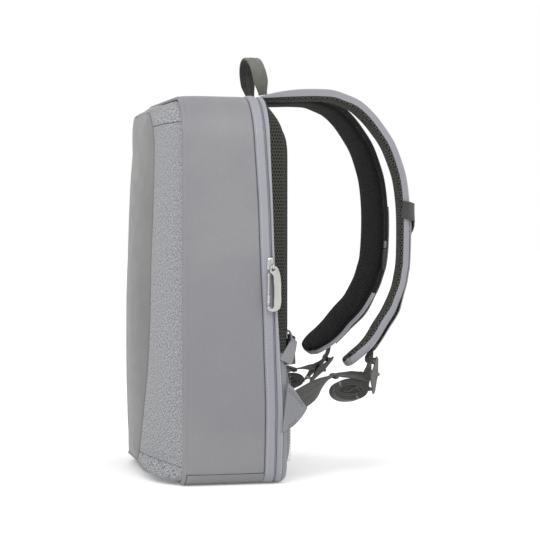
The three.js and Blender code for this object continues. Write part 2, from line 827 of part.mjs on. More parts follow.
// A point of the strap's frames between two rows.
function strapFrameAt(frames, row) {
  const i = Math.min(frames.length - 2, Math.floor(row));
  const [from, to, share] = [frames[i], frames[i + 1], row - Math.floor(row)];
  const mix = (key) => from[key].clone().lerp(to[key], share).normalize();
  return {
    at: from.at.clone().lerp(to.at, share),
    along: mix("along"),
    across: mix("across"),
    out: mix("out"),
    width: lerp(from.width, to.width, share),
    thick: lerp(from.thick, to.thick, share),
  };
}

function addStrap(word, side) {
  const frames = strapFrames(side);
  for (const [name, face, material] of [["strap_cover", 1, finish.shell], ["strap_mesh", -1, finish.mesh]]) {
    const rings = frames.map((frame) =>
      STRAP_HALF.map(([a, b], i) => {
        const inner = i === 0 || i === STRAP_HALF.length - 1;
        const out = inner ? CLEARANCE / 2 : (b * frame.thick) / 2;
        return strapPoint(frame, (a * frame.width) / 2, face * out);
      }),
    );
    const outline = STRAP_HALF.map(([a, b]) => new THREE.Vector2(a * STRAP_WIDTH, b * STRAP_THICK));
    loft(name + "_" + word, rings, outline, material);
  }
  return frames;
}

// Strip sewn on the strap's outer face, with the adjuster's webbing under its open end.
const OVERLAY_FROM = 13;
const OVERLAY_TO = 20.6;

function addStrapOverlay(word, frames) {
  const path = [];
  const under = WEB_THICK + CLEARANCE * 2;
  for (let row = OVERLAY_FROM; row < OVERLAY_TO + 0.4; row++) {
    const at = Math.min(row, OVERLAY_TO);
    const frame = strapFrameAt(frames, at);
    const rise = under * smooth((at - 16.5) / 1.5);
    const lift = frame.thick / 2 + CLEARANCE + COVER_THICK / 2 + rise;
    path.push({ at: strapPoint(frame, 0, lift), across: frame.across });
  }
  addRibbon("strap_overlay_" + word, path, WEB_WIDTH + 11, COVER_THICK, finish.flap);
}

// Elastic loop that crosses the near strap on a slant.
function addStrapLoop(frames) {
  const wide = STRAP_WIDTH / 2;
  const rows = [
    [1.02, -0.5, 13.1],
    [1.05, 0.55, 13.15],
    [0.97, 1.15, 13.2],
    [0.5, 1.55, 13.35],
    [0, 1.65, 13.5],
    [-0.5, 1.55, 13.65],
    [-0.97, 1.15, 13.8],
    [-1.05, 0.55, 13.85],
    [-1.02, -0.5, 13.9],
  ];
  const path = rows.map(([a, b, row]) => {
    const frame = strapFrameAt(frames, row);
    return { at: strapPoint(frame, a * (wide + 1), (b * STRAP_THICK) / 2), across: frame.along };
  });
  addRibbon("strap_loop", path, LOOP_WIDTH, WEB_THICK, finish.elastic);
}

// Small zip on the inner edge of the far strap: slider and pull.
function addStrapZip(frames) {
  const frame = strapFrameAt(frames, 14.4);
  const edge = STRAP_WIDTH / 2;
  const seat = strapPoint(frame, edge + CLEARANCE, 1.5);
  const path = (from, to, away) =>
    [from, to].map((run) => ({
      at: seat.clone().addScaledVector(frame.along, run).addScaledVector(frame.across, away),
      across: frame.out,
    }));
  addRibbon("strap_zip_slider", path(-5, 4, 1.6), 5, 3, finish.metal);
  addRibbon("strap_zip_pull", path(4.4, PULL_LENGTH, 2), 6.5, 2.6, finish.rubber);
}

// Closed loop of points extruded along X.
function addPrism(name, points, x, width, material) {
  const rings = [-1, 1].map((side) => points.map(([y, z]) => vec(x + (side * width) / 2, y, z)));
  const outline = points.map(([y, z]) => new THREE.Vector2(y, z));
  return loft(name, rings, outline, material);
}

// One solid out of several closed geometries.
function fuse(geometries) {
  const solids = geometries.map((geometry) => {
    const bare = geometry.index ? geometry.toNonIndexed() : geometry.clone();
    bare.deleteAttribute("normal");
    bare.deleteAttribute("uv");
    const merged = mergeVertices(bare, 1e-4);
    return new wasm.Manifold(
      new wasm.Mesh({
        numProp: 3,
        vertProperties: merged.attributes.position.array,
        triVerts: new Uint32Array(merged.index.array),
      }),
    );
  });
  const whole = solids.reduce((sum, solid) => sum.add(solid)).getMesh();
  const geometry = new THREE.BufferGeometry();
  geometry.setAttribute("position", new THREE.BufferAttribute(whole.vertProperties, 3));
  geometry.setIndex(new THREE.BufferAttribute(whole.triVerts, 1));
  geometry.computeVertexNormals();
  return geometry;
}

// Ladder-lock adjuster in its own frame: X along the webbing's width, Z along its length.
// Rail profile: share of the length, front and rear offsets in shares of the length.
const RAIL_PROFILE = [
  [0.5, 0.0, 0.035],
  [0.4, -0.05, 0.085],
  [0.15, -0.1, 0.1],
  [-0.05, -0.11, 0.11],
  [-0.3, -0.085, 0.09],
  [-0.43, -0.05, 0.075],
  [-0.5, -0.015, 0.04],
];
const BAR_PLACES = [0.36, -0.02, -0.38];

function adjusterGeometry() {
  const front = RAIL_PROFILE.map(([z, y]) => new THREE.Vector2(y, z));
  const rear = RAIL_PROFILE.map(([z, , y]) => new THREE.Vector2(y, z)).reverse();
  const shape = new THREE.Shape([...front, ...rear].map((p) => p.multiplyScalar(ADJUSTER_LENGTH)));
  const rails = [-1, 1].map((side) => {
    const rail = new THREE.ExtrudeGeometry(shape, { depth: ADJUSTER_RAIL, bevelEnabled: false });
    const turn = new THREE.Matrix4().makeBasis(vec(0, 1, 0), vec(0, 0, 1), vec(1, 0, 0));
    rail.applyMatrix4(turn);
    const from = side > 0 ? ADJUSTER_WIDTH / 2 - ADJUSTER_RAIL : -ADJUSTER_WIDTH / 2;
    return rail.translate(from, 0, 0);
  });
  const bars = BAR_PLACES.map((share) => {
    const bar = new THREE.CylinderGeometry(ADJUSTER_BAR, ADJUSTER_BAR, ADJUSTER_WIDTH - ADJUSTER_RAIL, 10);
    return bar.rotateZ(QUARTER).translate(0, 0, share * ADJUSTER_LENGTH);
  });
  return fuse([...rails, ...bars]);
}

// Place and lean of each adjuster, and of what its webbing runs to, from the end of its strap.
const NEAR = {
  word: "right",
  side: 1,
  adjuster: { x: 0, y: 28.6, z: -16.8, lean: 3 },
  roll: { x: -2, y: 2.3, z: -36.2, size: 1 },
  keeper: { x: 0, y: -16.4, z: -18.2 },
};
const FAR = {
  word: "left",
  side: -1,
  adjuster: { x: 0, y: 13.6, z: -25.8, lean: 42 },
  roll: { x: 5, y: -23.4, z: -43.5, size: 0.76 },
  keeper: { x: 0, y: -20.4, z: -27.2 },
};

// A place given from the end of the strap's middle line.
function fromStrapEnd({ x, y, z }, side) {
  const end = strapMiddle(STRAP_LINE[STRAP_LINE.length - 1], side);
  return end.add(vec(side * x, y, z));
}

// Points of an adjuster's frame: along its length, and away from the body.
function leaning(middle, lean) {
  const [sin, cos] = [Math.sin(lean), Math.cos(lean)];
  return (along, away) => middle.clone().add(vec(0, along * sin + away * cos, along * cos - away * sin));
}

function addAdjuster(set, frames) {
  const { word, side, adjuster, roll, keeper } = set;
  const place = leaning(fromStrapEnd(adjuster, side), THREE.MathUtils.degToRad(adjuster.lean));
  const body = adjusterGeometry();
  const turn = new THREE.Matrix4().makeBasis(
    vec(1, 0, 0),
    place(0, 1).sub(place(0, 0)),
    place(1, 0).sub(place(0, 0)),
  );
  body.applyMatrix4(turn.setPosition(place(0, 0)));
  addMesh("adjuster_" + word, body, finish.buckle);

  const across = vec(1, 0, 0);
  const run = (rows) => rows.map((at) => ({ at, across }));
  const [top, middle] = BAR_PLACES.map((share) => share * ADJUSTER_LENGTH);
  const round = ADJUSTER_BAR + CLEARANCE * 2 + WEB_THICK / 2;
  const web = [];
  for (const row of [18.4, 19.2, 20, 20.8]) {
    const frame = strapFrameAt(frames, row);
    web.push({ at: strapPoint(frame, 0, frame.thick / 2 + CLEARANCE + WEB_THICK / 2), across: frame.across });
  }
  const hook = [
    place(top + 3, -round),
    place(top, -round),
    place(top - 0.75 * round, -0.7 * round),
    place(top - round, 0),
    place(top - 0.75 * round, 0.7 * round),
    place(top, round),
    place(top + 3, round),
  ];
  addRibbon("adjuster_web_" + word, [...web, ...run(hook)], WEB_WIDTH, WEB_THICK, finish.webbing);

  const tabTip = vec(side * (HALF - 9), backY(TAB_Z) + TAB_REACH - 3.5, TAB_Z + 6);
  const lower = [
    place(middle - 3, round),
    place(middle, round),
    place(middle + 0.75 * round, 0.7 * round),
    place(middle + round, 0),
    place(middle + 0.75 * round, -0.7 * round),
    place(middle, -round - 0.6),
  ];
  const join = fromStrapEnd(keeper, side);
  const onward = [
    join.clone().lerp(lower[lower.length - 1], 0.55).add(vec(0, 0, 0.6)),
    join.clone(),
    join.clone().lerp(tabTip, 0.3),
    join.clone().lerp(tabTip, 0.6).add(vec(0, 0, -0.4)),
    join.clone().lerp(tabTip, 0.96),
  ];
  const twist = [0, 0, 0.25, 0.6, 1];
  const tabAcross = vec(side * 0.2, -0.5, 0.84);
  const lowerPath = [
    ...run(lower),
    ...onward.map((at, i) => ({ at, across: across.clone().lerp(tabAcross, twist[i]) })),
  ];
  addRibbon("lower_web_" + word, lowerPath, WEB_WIDTH, WEB_THICK, finish.webbing);
  addRoll(word, fromStrapEnd(roll, side), roll.size);
  addTab(word, side);
}

// Rolled end of the webbing, seen end on as a flat oval.
function addRoll(word, { x, y, z }, size) {
  const steps = 20;
  const points = [];
  for (let i = 0; i < steps; i++) {
    const angle = (i / steps) * 4 * QUARTER;
    const along = Math.sign(Math.cos(angle)) * Math.abs(Math.cos(angle)) ** 0.85;
    points.push([y + (along * size * ROLL_LENGTH) / 2, z + (Math.sin(angle) * size * ROLL_HEIGHT) / 2]);
  }
  addPrism("web_roll_" + word, points, x, WEB_WIDTH, finish.webbing);
}

// Cloth tab sewn into the side seam, from a long root to a short tip.
function addTab(word, side) {
  const wall = backY(TAB_Z);
  const rows = [
    [HALF + 1.3, wall + 2.1, 0, TAB_HEIGHT],
    [HALF - 1.6, wall + TAB_REACH * 0.37, -0.5, TAB_HEIGHT * 0.82],
    [HALF - 5, wall + TAB_REACH * 0.67, -1.5, TAB_HEIGHT * 0.62],
    [HALF - 9.5, wall + TAB_REACH - 1, -3, TAB_HEIGHT * 0.36],
  ];
  const path = rows.map(([x, y, drop, width]) => ({ at: vec(side * x, y, TAB_Z + drop), across: vec(0, 0, 1), width }));
  addRibbon("side_tab_" + word, path, TAB_HEIGHT, TAB_THICK, finish.shell);
}

// Zip slider, its bail, and the snap hook with its gate, on the right side.
function addLock() {
  const lock = new THREE.Group();
  const sliderFoot = SLIDER_TOP - SLIDER_LENGTH;
  const y = zipY(SLIDER_TOP) + 1.3;
  const face = HALF + 0.6 * FLAP_SWELL + CLEARANCE;
  const profile = [
    [-0.5, 0],
    [0.5, 0],
    [0.5, 0.7],
    [0.25, 1],
    [-0.25, 1],
    [-0.5, 0.7],
  ];
  const slider = [0, 0.12, 0.85, 1].map((share, i) => {
    const shrink = i === 0 || i === 3 ? 0.75 : 1;
    return profile.map(([a, b]) =>
      vec(face + b * SLIDER_PROUD * shrink, y + a * SLIDER_WIDTH * shrink, sliderFoot + share * SLIDER_LENGTH),
    );
  });
  loft("zip_slider", slider, profile.map(([a, b]) => new THREE.Vector2(a, b)), finish.metal, false, lock);

  const pivot = vec(face + SLIDER_PROUD + BAIL_RADIUS - 0.2, y + 2.4, sliderFoot + 3.4);
  addBail(pivot, face + SLIDER_PROUD + CLEARANCE, lock);
  addHook(pivot, lock);
  piece.add(lock);
}

// Wire bent round the eye's rim, its two feet on the slider.
function addBail(pivot, foot, parent) {
  const points = [vec(foot, pivot.y, pivot.z + BAIL_RADIUS)];
  for (let turn = 100; turn >= -130; turn -= 23) {
    const angle = THREE.MathUtils.degToRad(turn);
    points.push(vec(pivot.x + BAIL_RADIUS * Math.cos(angle), pivot.y, pivot.z + BAIL_RADIUS * Math.sin(angle)));
  }
  points.push(vec(foot, pivot.y, pivot.z - BAIL_RADIUS * 0.62));
  const wire = points.map((at, i) => {
    const before = points[Math.max(0, i - 1)];
    const after = points[Math.min(points.length - 1, i + 1)];
    const along = after.clone().sub(before).normalize();
    const out = vec(0, 1, 0).cross(along).normalize();
    return { at, out };
  });
  const sides = 8;
  const circle = Array.from({ length: sides }, (_, i) => (i / sides) * 4 * QUARTER);
  const rings = wire.map(({ at, out }) =>
    circle.map((angle) =>
      at
        .clone()
        .addScaledVector(vec(0, 1, 0), BAIL_WIRE * Math.cos(angle))
        .addScaledVector(out, BAIL_WIRE * Math.sin(angle)),
    ),
  );
  const outline = circle.map((angle) => new THREE.Vector2(Math.cos(angle), Math.sin(angle)));
  loft("zip_bail", rings, outline, finish.metal, false, parent);
}

// Snap hook outline: across as a share of HOOK_WIDTH from the eye, down as a share of HOOK_LENGTH
// from the top.
const HOOK_OUTLINE = [
  [-0.24, 0.03],
  [0.0, 0.0],
  [0.26, 0.035],
  [0.46, 0.17],
  [0.51, 0.36],
  [0.51, 0.74],
  [0.4, 0.89],
  [0.14, 0.975],
  [-0.14, 1],
  [-0.4, 0.97],
  [-0.49, 0.9],
  [-0.31, 0.885],
  [-0.22, 0.925],
  [-0.08, 0.94],
  [0.03, 0.89],
  [0.07, 0.76],
  [0.055, 0.34],
  [-0.02, 0.21],
  [-0.26, 0.14],
];

function addHook(pivot, parent) {
  const rim = HOOK_THICK * 0.45;
  const top = pivot.z + rim;
  const shape = new THREE.Shape(
    HOOK_OUTLINE.map(([a, d]) => new THREE.Vector2(a * HOOK_WIDTH, -d * HOOK_LENGTH)),
  );
  const eye = new THREE.Path();
  eye.absarc(0, -(2 * rim + HOOK_EYE), HOOK_EYE, 0, 4 * QUARTER, false);
  shape.holes.push(eye);
  const plate = new THREE.ExtrudeGeometry(shape, {
    depth: HOOK_THICK,
    bevelEnabled: false,
    curveSegments: 12,
  });
  const turn = new THREE.Matrix4().makeBasis(vec(0, 1, 0), vec(0, 0, 1), vec(1, 0, 0));
  plate.applyMatrix4(turn);
  plate.translate(pivot.x - HOOK_THICK / 2, pivot.y, top);
  addMesh("lock_hook", plate, finish.metal, parent);

  const hinge = vec(pivot.x, pivot.y - 0.36 * HOOK_WIDTH, top - 0.175 * HOOK_LENGTH);
  const tip = vec(pivot.x, pivot.y - 0.4 * HOOK_WIDTH, top - 0.87 * HOOK_LENGTH);
  const length = hinge.distanceTo(tip);
  const rod = new THREE.CylinderGeometry(GATE_ROD, GATE_ROD, length, 10);
  rod.rotateX(QUARTER).translate(0, 0, -length / 2);
  const sleeve = new THREE.BoxGeometry(GATE_ROD * 3.2, GATE_ROD * 3.4, 9.5);
  sleeve.translate(0, -0.4, -length * 0.8);
  const gate = fuse([rod, sleeve]);
  const lean = Math.atan2(tip.y - hinge.y, hinge.z - tip.z);
  gate.rotateX(lean).translate(hinge.x, hinge.y, hinge.z);
  addMesh("lock_gate", gate, finish.metal, parent);
}

addShell();
addFront();
addBack();
addLuggageBand();
const rightFrames = addStrap("right", 1);
const leftFrames = addStrap("left", -1);
addStrapOverlay("right", rightFrames);
addStrapOverlay("left", leftFrames);
addStrapLoop(rightFrames);
addStrapZip(leftFrames);
addAdjuster(NEAR, rightFrames);
addAdjuster(FAR, leftFrames);
addTopHandle((y) => {
  const rows = rightFrames.map((frame) => [frame.at.y, frame.at.z + frame.thick / 2]);
  return read(rows, y, 1);
});
addLock();

export default piece;
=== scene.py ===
"""Slim backpack with a hidden zip: its looks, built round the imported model.

Sizes are millimetres in the part's own frame, and every mesh is scaled to metres as it is made.
+X is the wearer's right side, -Y the front, +Y the straps, +Z up. The origin is the middle of the base.
"""

import math
from types import SimpleNamespace

import bmesh
import bpy
import numpy as np
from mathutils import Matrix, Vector


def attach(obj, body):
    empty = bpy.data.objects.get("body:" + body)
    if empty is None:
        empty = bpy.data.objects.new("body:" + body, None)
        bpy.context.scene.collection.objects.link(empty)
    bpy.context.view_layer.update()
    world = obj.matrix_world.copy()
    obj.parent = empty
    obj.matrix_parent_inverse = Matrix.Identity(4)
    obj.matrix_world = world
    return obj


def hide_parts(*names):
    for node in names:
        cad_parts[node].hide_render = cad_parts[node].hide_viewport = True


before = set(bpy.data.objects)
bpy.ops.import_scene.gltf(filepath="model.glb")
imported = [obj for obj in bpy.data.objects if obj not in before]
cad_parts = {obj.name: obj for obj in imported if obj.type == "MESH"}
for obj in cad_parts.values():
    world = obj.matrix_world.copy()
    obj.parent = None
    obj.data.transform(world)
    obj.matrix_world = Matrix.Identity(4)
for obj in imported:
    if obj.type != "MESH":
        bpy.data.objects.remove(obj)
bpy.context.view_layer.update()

MM = 0.001
QUARTER = math.pi / 2

# Body
WIDTH = 300
HEIGHT = 450
HALF = WIDTH / 2
CROWN_RADIUS = 48
FOOT_RADIUS = 22
FRONT_Y = -55
CLOTH = 3
CLEARANCE = 0.3
FOOT_SEAM = 13

# Front
RIM_WIDTH = 4.4
RIM_PROUD = 2
PANEL_TOP = HEIGHT - 17
PANEL_FOOT = 18
PANEL_CROWN_RADIUS = 30
PANEL_FOOT_RADIUS = 12
PANEL_REACH = 44.6
BAND_CROWN = 4
BAND_CROWN_FOOT = 16

# Zip band
ZIP_FLAP = 12.4
ZIP_SLIT = 2.2
FLAP_THICK = 4
FLAP_SWELL = 1.9
TAPE_WIDTH = 12
TAPE_THICK = 1

# Back
BACK_PLANE = 68
BACK_EDGE_SIDE = 24
BACK_EDGE_TOP = 12
BACK_EDGE_FOOT = 16
BACK_DIP = 15
DIP_START = HEIGHT - 78
DIP_RUN = 60
PAD_WIDTH = 256
PAD_FOOT = 158
PAD_TOP = HEIGHT - 34
PAD_THICK = 13
LOWER_PAD_WIDTH = 250
LOWER_PAD_FOOT = 14
LOWER_PAD_TOP = 136
LOWER_PAD_THICK = 8
LOWER_PAD_RADIUS = 20
LOWER_PAD_SLOPE = 15
LOWER_PAD_STITCH = 7
BINDING_RADIUS = 1.3

# Band for a trolley handle
LUGGAGE_WIDTH = 30
LUGGAGE_Z = 154
LUGGAGE_THICK = 1.8
LUGGAGE_REACH = 18.5
LUGGAGE_HALF = 134
LUGGAGE_END_THICK = 2.5
SIDE_LOOP_WIDTH = 10
SIDE_LOOP_THICK = 1.2

# Top handle
HANDLE_WEB = 18
HANDLE_THICK = 4
HANDLE_SPAN = 76
HANDLE_RISE = 45
HANDLE_Y = 60
HANDLE_LEAN = 8

# Shoulder straps
STRAP_WIDTH = 62
STRAP_THICK = 15
STRAP_ROOT_THICK = 4.6
STRAP_ROOT_Y = 52
STRAP_ROOT_X = 49
STRAP_SPLAY = 54
STRAP_REACH = 176.5
STRAP_DROP = 313
STRAP_ROLL = 12
COVER_THICK = 1.4
LOOP_WIDTH = 21
STRAP_ZIP_ROW = 14.4
PULL_LENGTH = 33

# Webbing and adjusters
WEB_WIDTH = 25
WEB_THICK = 1.6
KEEPER_WIDTH = 5
KEEPER_THICK = 0.9
ADJUSTER_LENGTH = 46
ADJUSTER_WIDTH = 35
ADJUSTER_RAIL = 4.4
ADJUSTER_BAR = 2
ROLL_LENGTH = 45
ROLL_HEIGHT = 28
TAB_THICK = 3
TAB_REACH = 30
TAB_Z = 93
TAB_STITCHES = (3.2, 6.4)

# Zip slider and snap hook
SLIDER_TOP = 262.8
SLIDER_Y = 44.8
SLIDER_LENGTH = 13.4
SLIDER_WIDTH = 9
SLIDER_PROUD = 2.6
BAIL_RADIUS = 3
BAIL_WIRE = 0.7
HOOK_LENGTH = 53
HOOK_WIDTH = 14.2
HOOK_THICK = 3
HOOK_BEVEL = 0.55
HOOK_EYE = 2
GATE_ROD = 1.1
SLEEVE_LENGTH = 9.5
SLEEVE_WALL = 0.682


def lerp(a, b, share):
    return a + (b - a) * share


def smooth(share):
    t = np.clip(share, 0.0, 1.0)
    return t * t * (3 - 2 * t)


def unit(vectors):
    vectors = np.asarray(vectors, float)
    return vectors / np.linalg.norm(vectors, axis=-1, keepdims=True)


def columns(*parts):
    """Points from their coordinates, any of which may be one value for all."""
    return np.stack(np.broadcast_arrays(*parts), -1)


def looped(points):
    return np.vstack([points, points[:1]])


def round_angles(count):
    return np.arange(count) / count * 4 * QUARTER


def squared(wave, power):
    """A sine or cosine with its peaks made flatter, for the section of a box with round corners."""
    return np.sign(wave) * abs(wave) ** power


def curve(x, y, at, gentle=False):
    """Smooth curve through points (x, y), read at given places. A gentle one never overshoots."""
    x, y, at = np.asarray(x, float), np.asarray(y, float), np.asarray(at, float)
    step = np.diff(x)[:, None]
    slope = np.diff(y, axis=0) / step
    tangent = np.empty_like(y)
    tangent[1:-1] = (slope[:-1] * step[1:] + slope[1:] * step[:-1]) / (step[:-1] + step[1:])
    tangent[0], tangent[-1] = slope[0], slope[-1]
    if gentle:
        turns = slope[:-1] * slope[1:] <= 0
        most = 3 * np.minimum(abs(slope[:-1]), abs(slope[1:]))
        tangent[1:-1] = np.where(turns, 0, np.clip(tangent[1:-1], -most, most))
    i = np.clip(np.searchsorted(x, at, side="right") - 1, 0, len(x) - 2)
    t = np.clip((at - x[i]) / step[i, 0], 0, 1)[:, None]
    return (
        (1 + 2 * t) * (1 - t) ** 2 * y[i]
        + t * (1 - t) ** 2 * step[i] * tangent[i]
        + t * t * (3 - 2 * t) * y[i + 1]
        + t * t * (t - 1) * step[i] * tangent[i + 1]
    )


def read(rows, at):
    """Columns of a table of [position, value, ...] rows, read smoothly at given positions."""
    rows = np.asarray(rows, float)
    at = np.clip(np.atleast_1d(at), rows[0, 0], rows[-1, 0])
    return curve(rows[:, 0], rows[:, 1:], at, gentle=True).T


def run_length(points):
    """Distance along a row of points, from its first."""
    steps = np.linalg.norm(np.diff(points, axis=0), axis=-1)
    return np.concatenate([[0], np.cumsum(steps)])


def spline(points, step, *others):
    """Evenly spaced points on a smooth curve, with other columns read along with it."""
    points = np.asarray(points, float)
    run = run_length(points)
    places = np.linspace(0, run[-1], max(4, int(run[-1] / step) + 1))
    made = [curve(run, points, places)]
    for other in others:
        made.append(curve(run, np.asarray(other, float), places, gentle=True))
    return made[0] if not others else made


def ring_spline(points, step):
    """Evenly spaced points on a smooth closed curve."""
    return spline(looped(points), step)[:-1]


def tangents(points, closed=False):
    if closed:
        return unit(np.roll(points, -1, axis=0) - np.roll(points, 1, axis=0))
    return unit(np.gradient(points, axis=0))


def roll_in(distance, radius):
    """How far a cloth edge turns in at a distance from its seam."""
    left = np.clip(radius - distance, 0, radius)
    return radius - np.sqrt(radius**2 - left**2)


# Meshes


def placed(name, data):
    made = bpy.data.objects.new(name, data)
    bpy.context.scene.collection.objects.link(made)
    return made


def new_object(name, points, faces, material, slot, uv=None, body="bag", stands_for=(), sharp=35):
    """Adds one mesh, given in millimetres, to the scene, attached to its body, and hides the model's
    parts it stands for.
    """
    mesh = bpy.data.meshes.new(name)
    mesh.from_pydata((np.asarray(points) * MM).tolist(), [], [list(map(int, f)) for f in faces])
    if uv is not None:
        layer = mesh.uv_layers.new(name="metres")
        layer.data.foreach_set("uv", (np.asarray(uv) * MM).ravel())
    tidy_mesh(mesh, sharp)
    made = placed(name, mesh)
    mesh.materials.append(material)
    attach(made, body)
    if stands_for:
        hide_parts(*stands_for)
    return made


def tidy_mesh(mesh, sharp):
    """Faces out, smooth shading, and sharp edges where faces meet at a steep angle."""
    work = bmesh.new()
    work.from_mesh(mesh)
    bmesh.ops.remove_doubles(work, verts=work.verts, dist=1e-6)
    bmesh.ops.dissolve_degenerate(work, dist=1e-6, edges=work.edges)
    bmesh.ops.recalc_face_normals(work, faces=work.faces)
    for face in work.faces:
        face.smooth = True
    for edge in work.edges:
        edge.smooth = len(edge.link_faces) != 2 or edge.calc_face_angle(0) < math.radians(sharp)
    work.to_mesh(mesh)
    work.free()


def skin(rows, closed=False, cap=True):
    """Points, faces and corner UVs of a skin through rows of closed sections."""
    rows = np.asarray(rows, float)
    count, size = rows.shape[:2]
    around = run_length(looped(rows[count // 2]))
    middle = rows.mean(axis=1)
    along = run_length(looped(middle) if closed else middle)
    faces = []
    uv = []
    for i in range(count if closed else count - 1):
        j = (i + 1) % count
        for k in range(size):
            n = (k + 1) % size
            faces.append((i * size + k, i * size + n, j * size + n, j * size + k))
            uv += [(around[k], along[i]), (around[k + 1], along[i])]
            uv += [(around[k + 1], along[i + 1]), (around[k], along[i + 1])]
    if cap and not closed:
        for i, order in ((0, range(size)), (count - 1, range(size - 1, -1, -1))):
            faces.append([i * size + k for k in order])
            uv += [(around[k], along[i]) for k in order]
    return rows.reshape(-1, 3), faces, uv


def loft(name, rows, material, slot, closed=False, **words):
    points, faces, uv = skin(rows, closed)
    return new_object(name, points, faces, material, slot, uv, **words)


def joined(parts):
    """One set of points, faces and UVs out of several."""
    points, faces, uv, start = [], [], [], 0
    for some, more, corners in parts:
        points.append(some)
        faces += [[start + k for k in face] for face in more]
        uv += list(corners)
        start += len(some)
    return np.vstack(points), faces, uv


ROUND_CORNER = 5


def flat_section(width, thick):
    """Closed section of a strip: a rectangle with half-round edges, as (across, out) pairs."""
    radius = thick / 2 * 0.96
    angles = np.linspace(-QUARTER, QUARTER, ROUND_CORNER)
    edge = columns(width / 2 - radius + radius * np.cos(angles), radius * np.sin(angles))
    top = columns(np.linspace(1, -1, 7)[1:-1] * (width / 2 - radius), radius)
    return np.vstack([edge, top, -edge, -top])


def ribbon_rows(path, across, width, thick, bow=0.0):
    """Sections of a strip along a path, wide along across. Bow arches its middle."""
    path = np.asarray(path, float)
    along = tangents(path)
    across = np.broadcast_to(unit(across), path.shape)
    across = unit(across - (across * along).sum(1, keepdims=True) * along)
    out = np.cross(across, along)
    widths = np.broadcast_to(np.asarray(width, float).ravel(), (len(path),))
    pattern = 500
    section = flat_section(2 * pattern, thick)
    far = abs(section[:, 0])
    edge = pattern - far
    rows = []
    for i in range(len(path)):
        half = widths[i] / 2
        a = np.sign(section[:, 0]) * np.where(edge < thick, half - edge, half * far / pattern)
        lift = section[:, 1] + bow * (1 - (a / half) ** 2)
        rows.append(path[i] + a[:, None] * across[i] + lift[:, None] * out[i])
    return np.array(rows)


def tube_rows(path, radius, sides=10, closed=False, up=(0, 0, 1)):
    """Sections of a round cord along a path. Radius may change along it."""
    path = np.asarray(path, float)
    along = tangents(path, closed)
    aside = np.cross(along, np.broadcast_to(np.asarray(up, float), path.shape))
    weak = np.linalg.norm(aside, axis=1) < 0.15
    aside[weak] = np.cross(along[weak], (0.0, 1.0, 0.0))
    aside = unit(aside)
    over = np.cross(aside, along)
    radii = np.broadcast_to(np.asarray(radius, float), (len(path),))
    angles = round_angles(sides)[None, :, None]
    spokes = np.cos(angles) * aside[:, None] + np.sin(angles) * over[:, None]
    return path[:, None] + radii[:, None, None] * spokes


STITCH = SimpleNamespace(length=2.7, gap=1.0, radius=0.34, sides=6)

# Bar of thread: share of its length, share of its radius.
STITCH_SHAPE = [[-0.5, 0.3], [-0.42, 0.8], [-0.2, 1], [0.2, 1], [0.42, 0.8], [0.5, 0.3]]


def stitch_parts(path, normal):
    """Threads along a path, each a small rounded bar half sunk in the cloth."""
    path = np.asarray(path, float)
    normal = np.broadcast_to(unit(normal), path.shape)
    run = run_length(path)
    count = max(1, int(run[-1] / (STITCH.length + STITCH.gap)))
    angles = round_angles(STITCH.sides)[:, None]
    parts = []
    for place in (np.arange(count) + 0.5) * run[-1] / count:
        at, ahead, up = (
            np.array([np.interp(p, run, values[:, k]) for k in range(3)])
            for p, values in ((place, path), (place + 0.3, path), (place, normal))
        )
        along = unit(ahead - at)
        aside = unit(np.cross(along, up))
        over = np.cross(aside, along)
        spokes = STITCH.radius * (np.cos(angles) * aside + np.sin(angles) * over)
        parts.append(skin([at + s * STITCH.length * along + r * spokes for s, r in STITCH_SHAPE]))
    return parts


def stitches(name, lines, material, slot, **words):
    """One mesh of all the stitches along several (path, normal) lines."""
    parts = []
    for path, normal in lines:
        parts += stitch_parts(path, normal)
    points, faces, uv = joined(parts)
    return new_object(name, points, faces, material, slot, uv, **words)


# Materials


def linear(hex_colour):
    """Shader colour of an sRGB hex value."""
    parts = [int(hex_colour[i : i + 2], 16) / 255 for i in (0, 2, 4)]
    return tuple(p / 12.92 if p <= 0.04045 else ((p + 0.055) / 1.055) ** 2.4 for p in parts) + (1.0,)


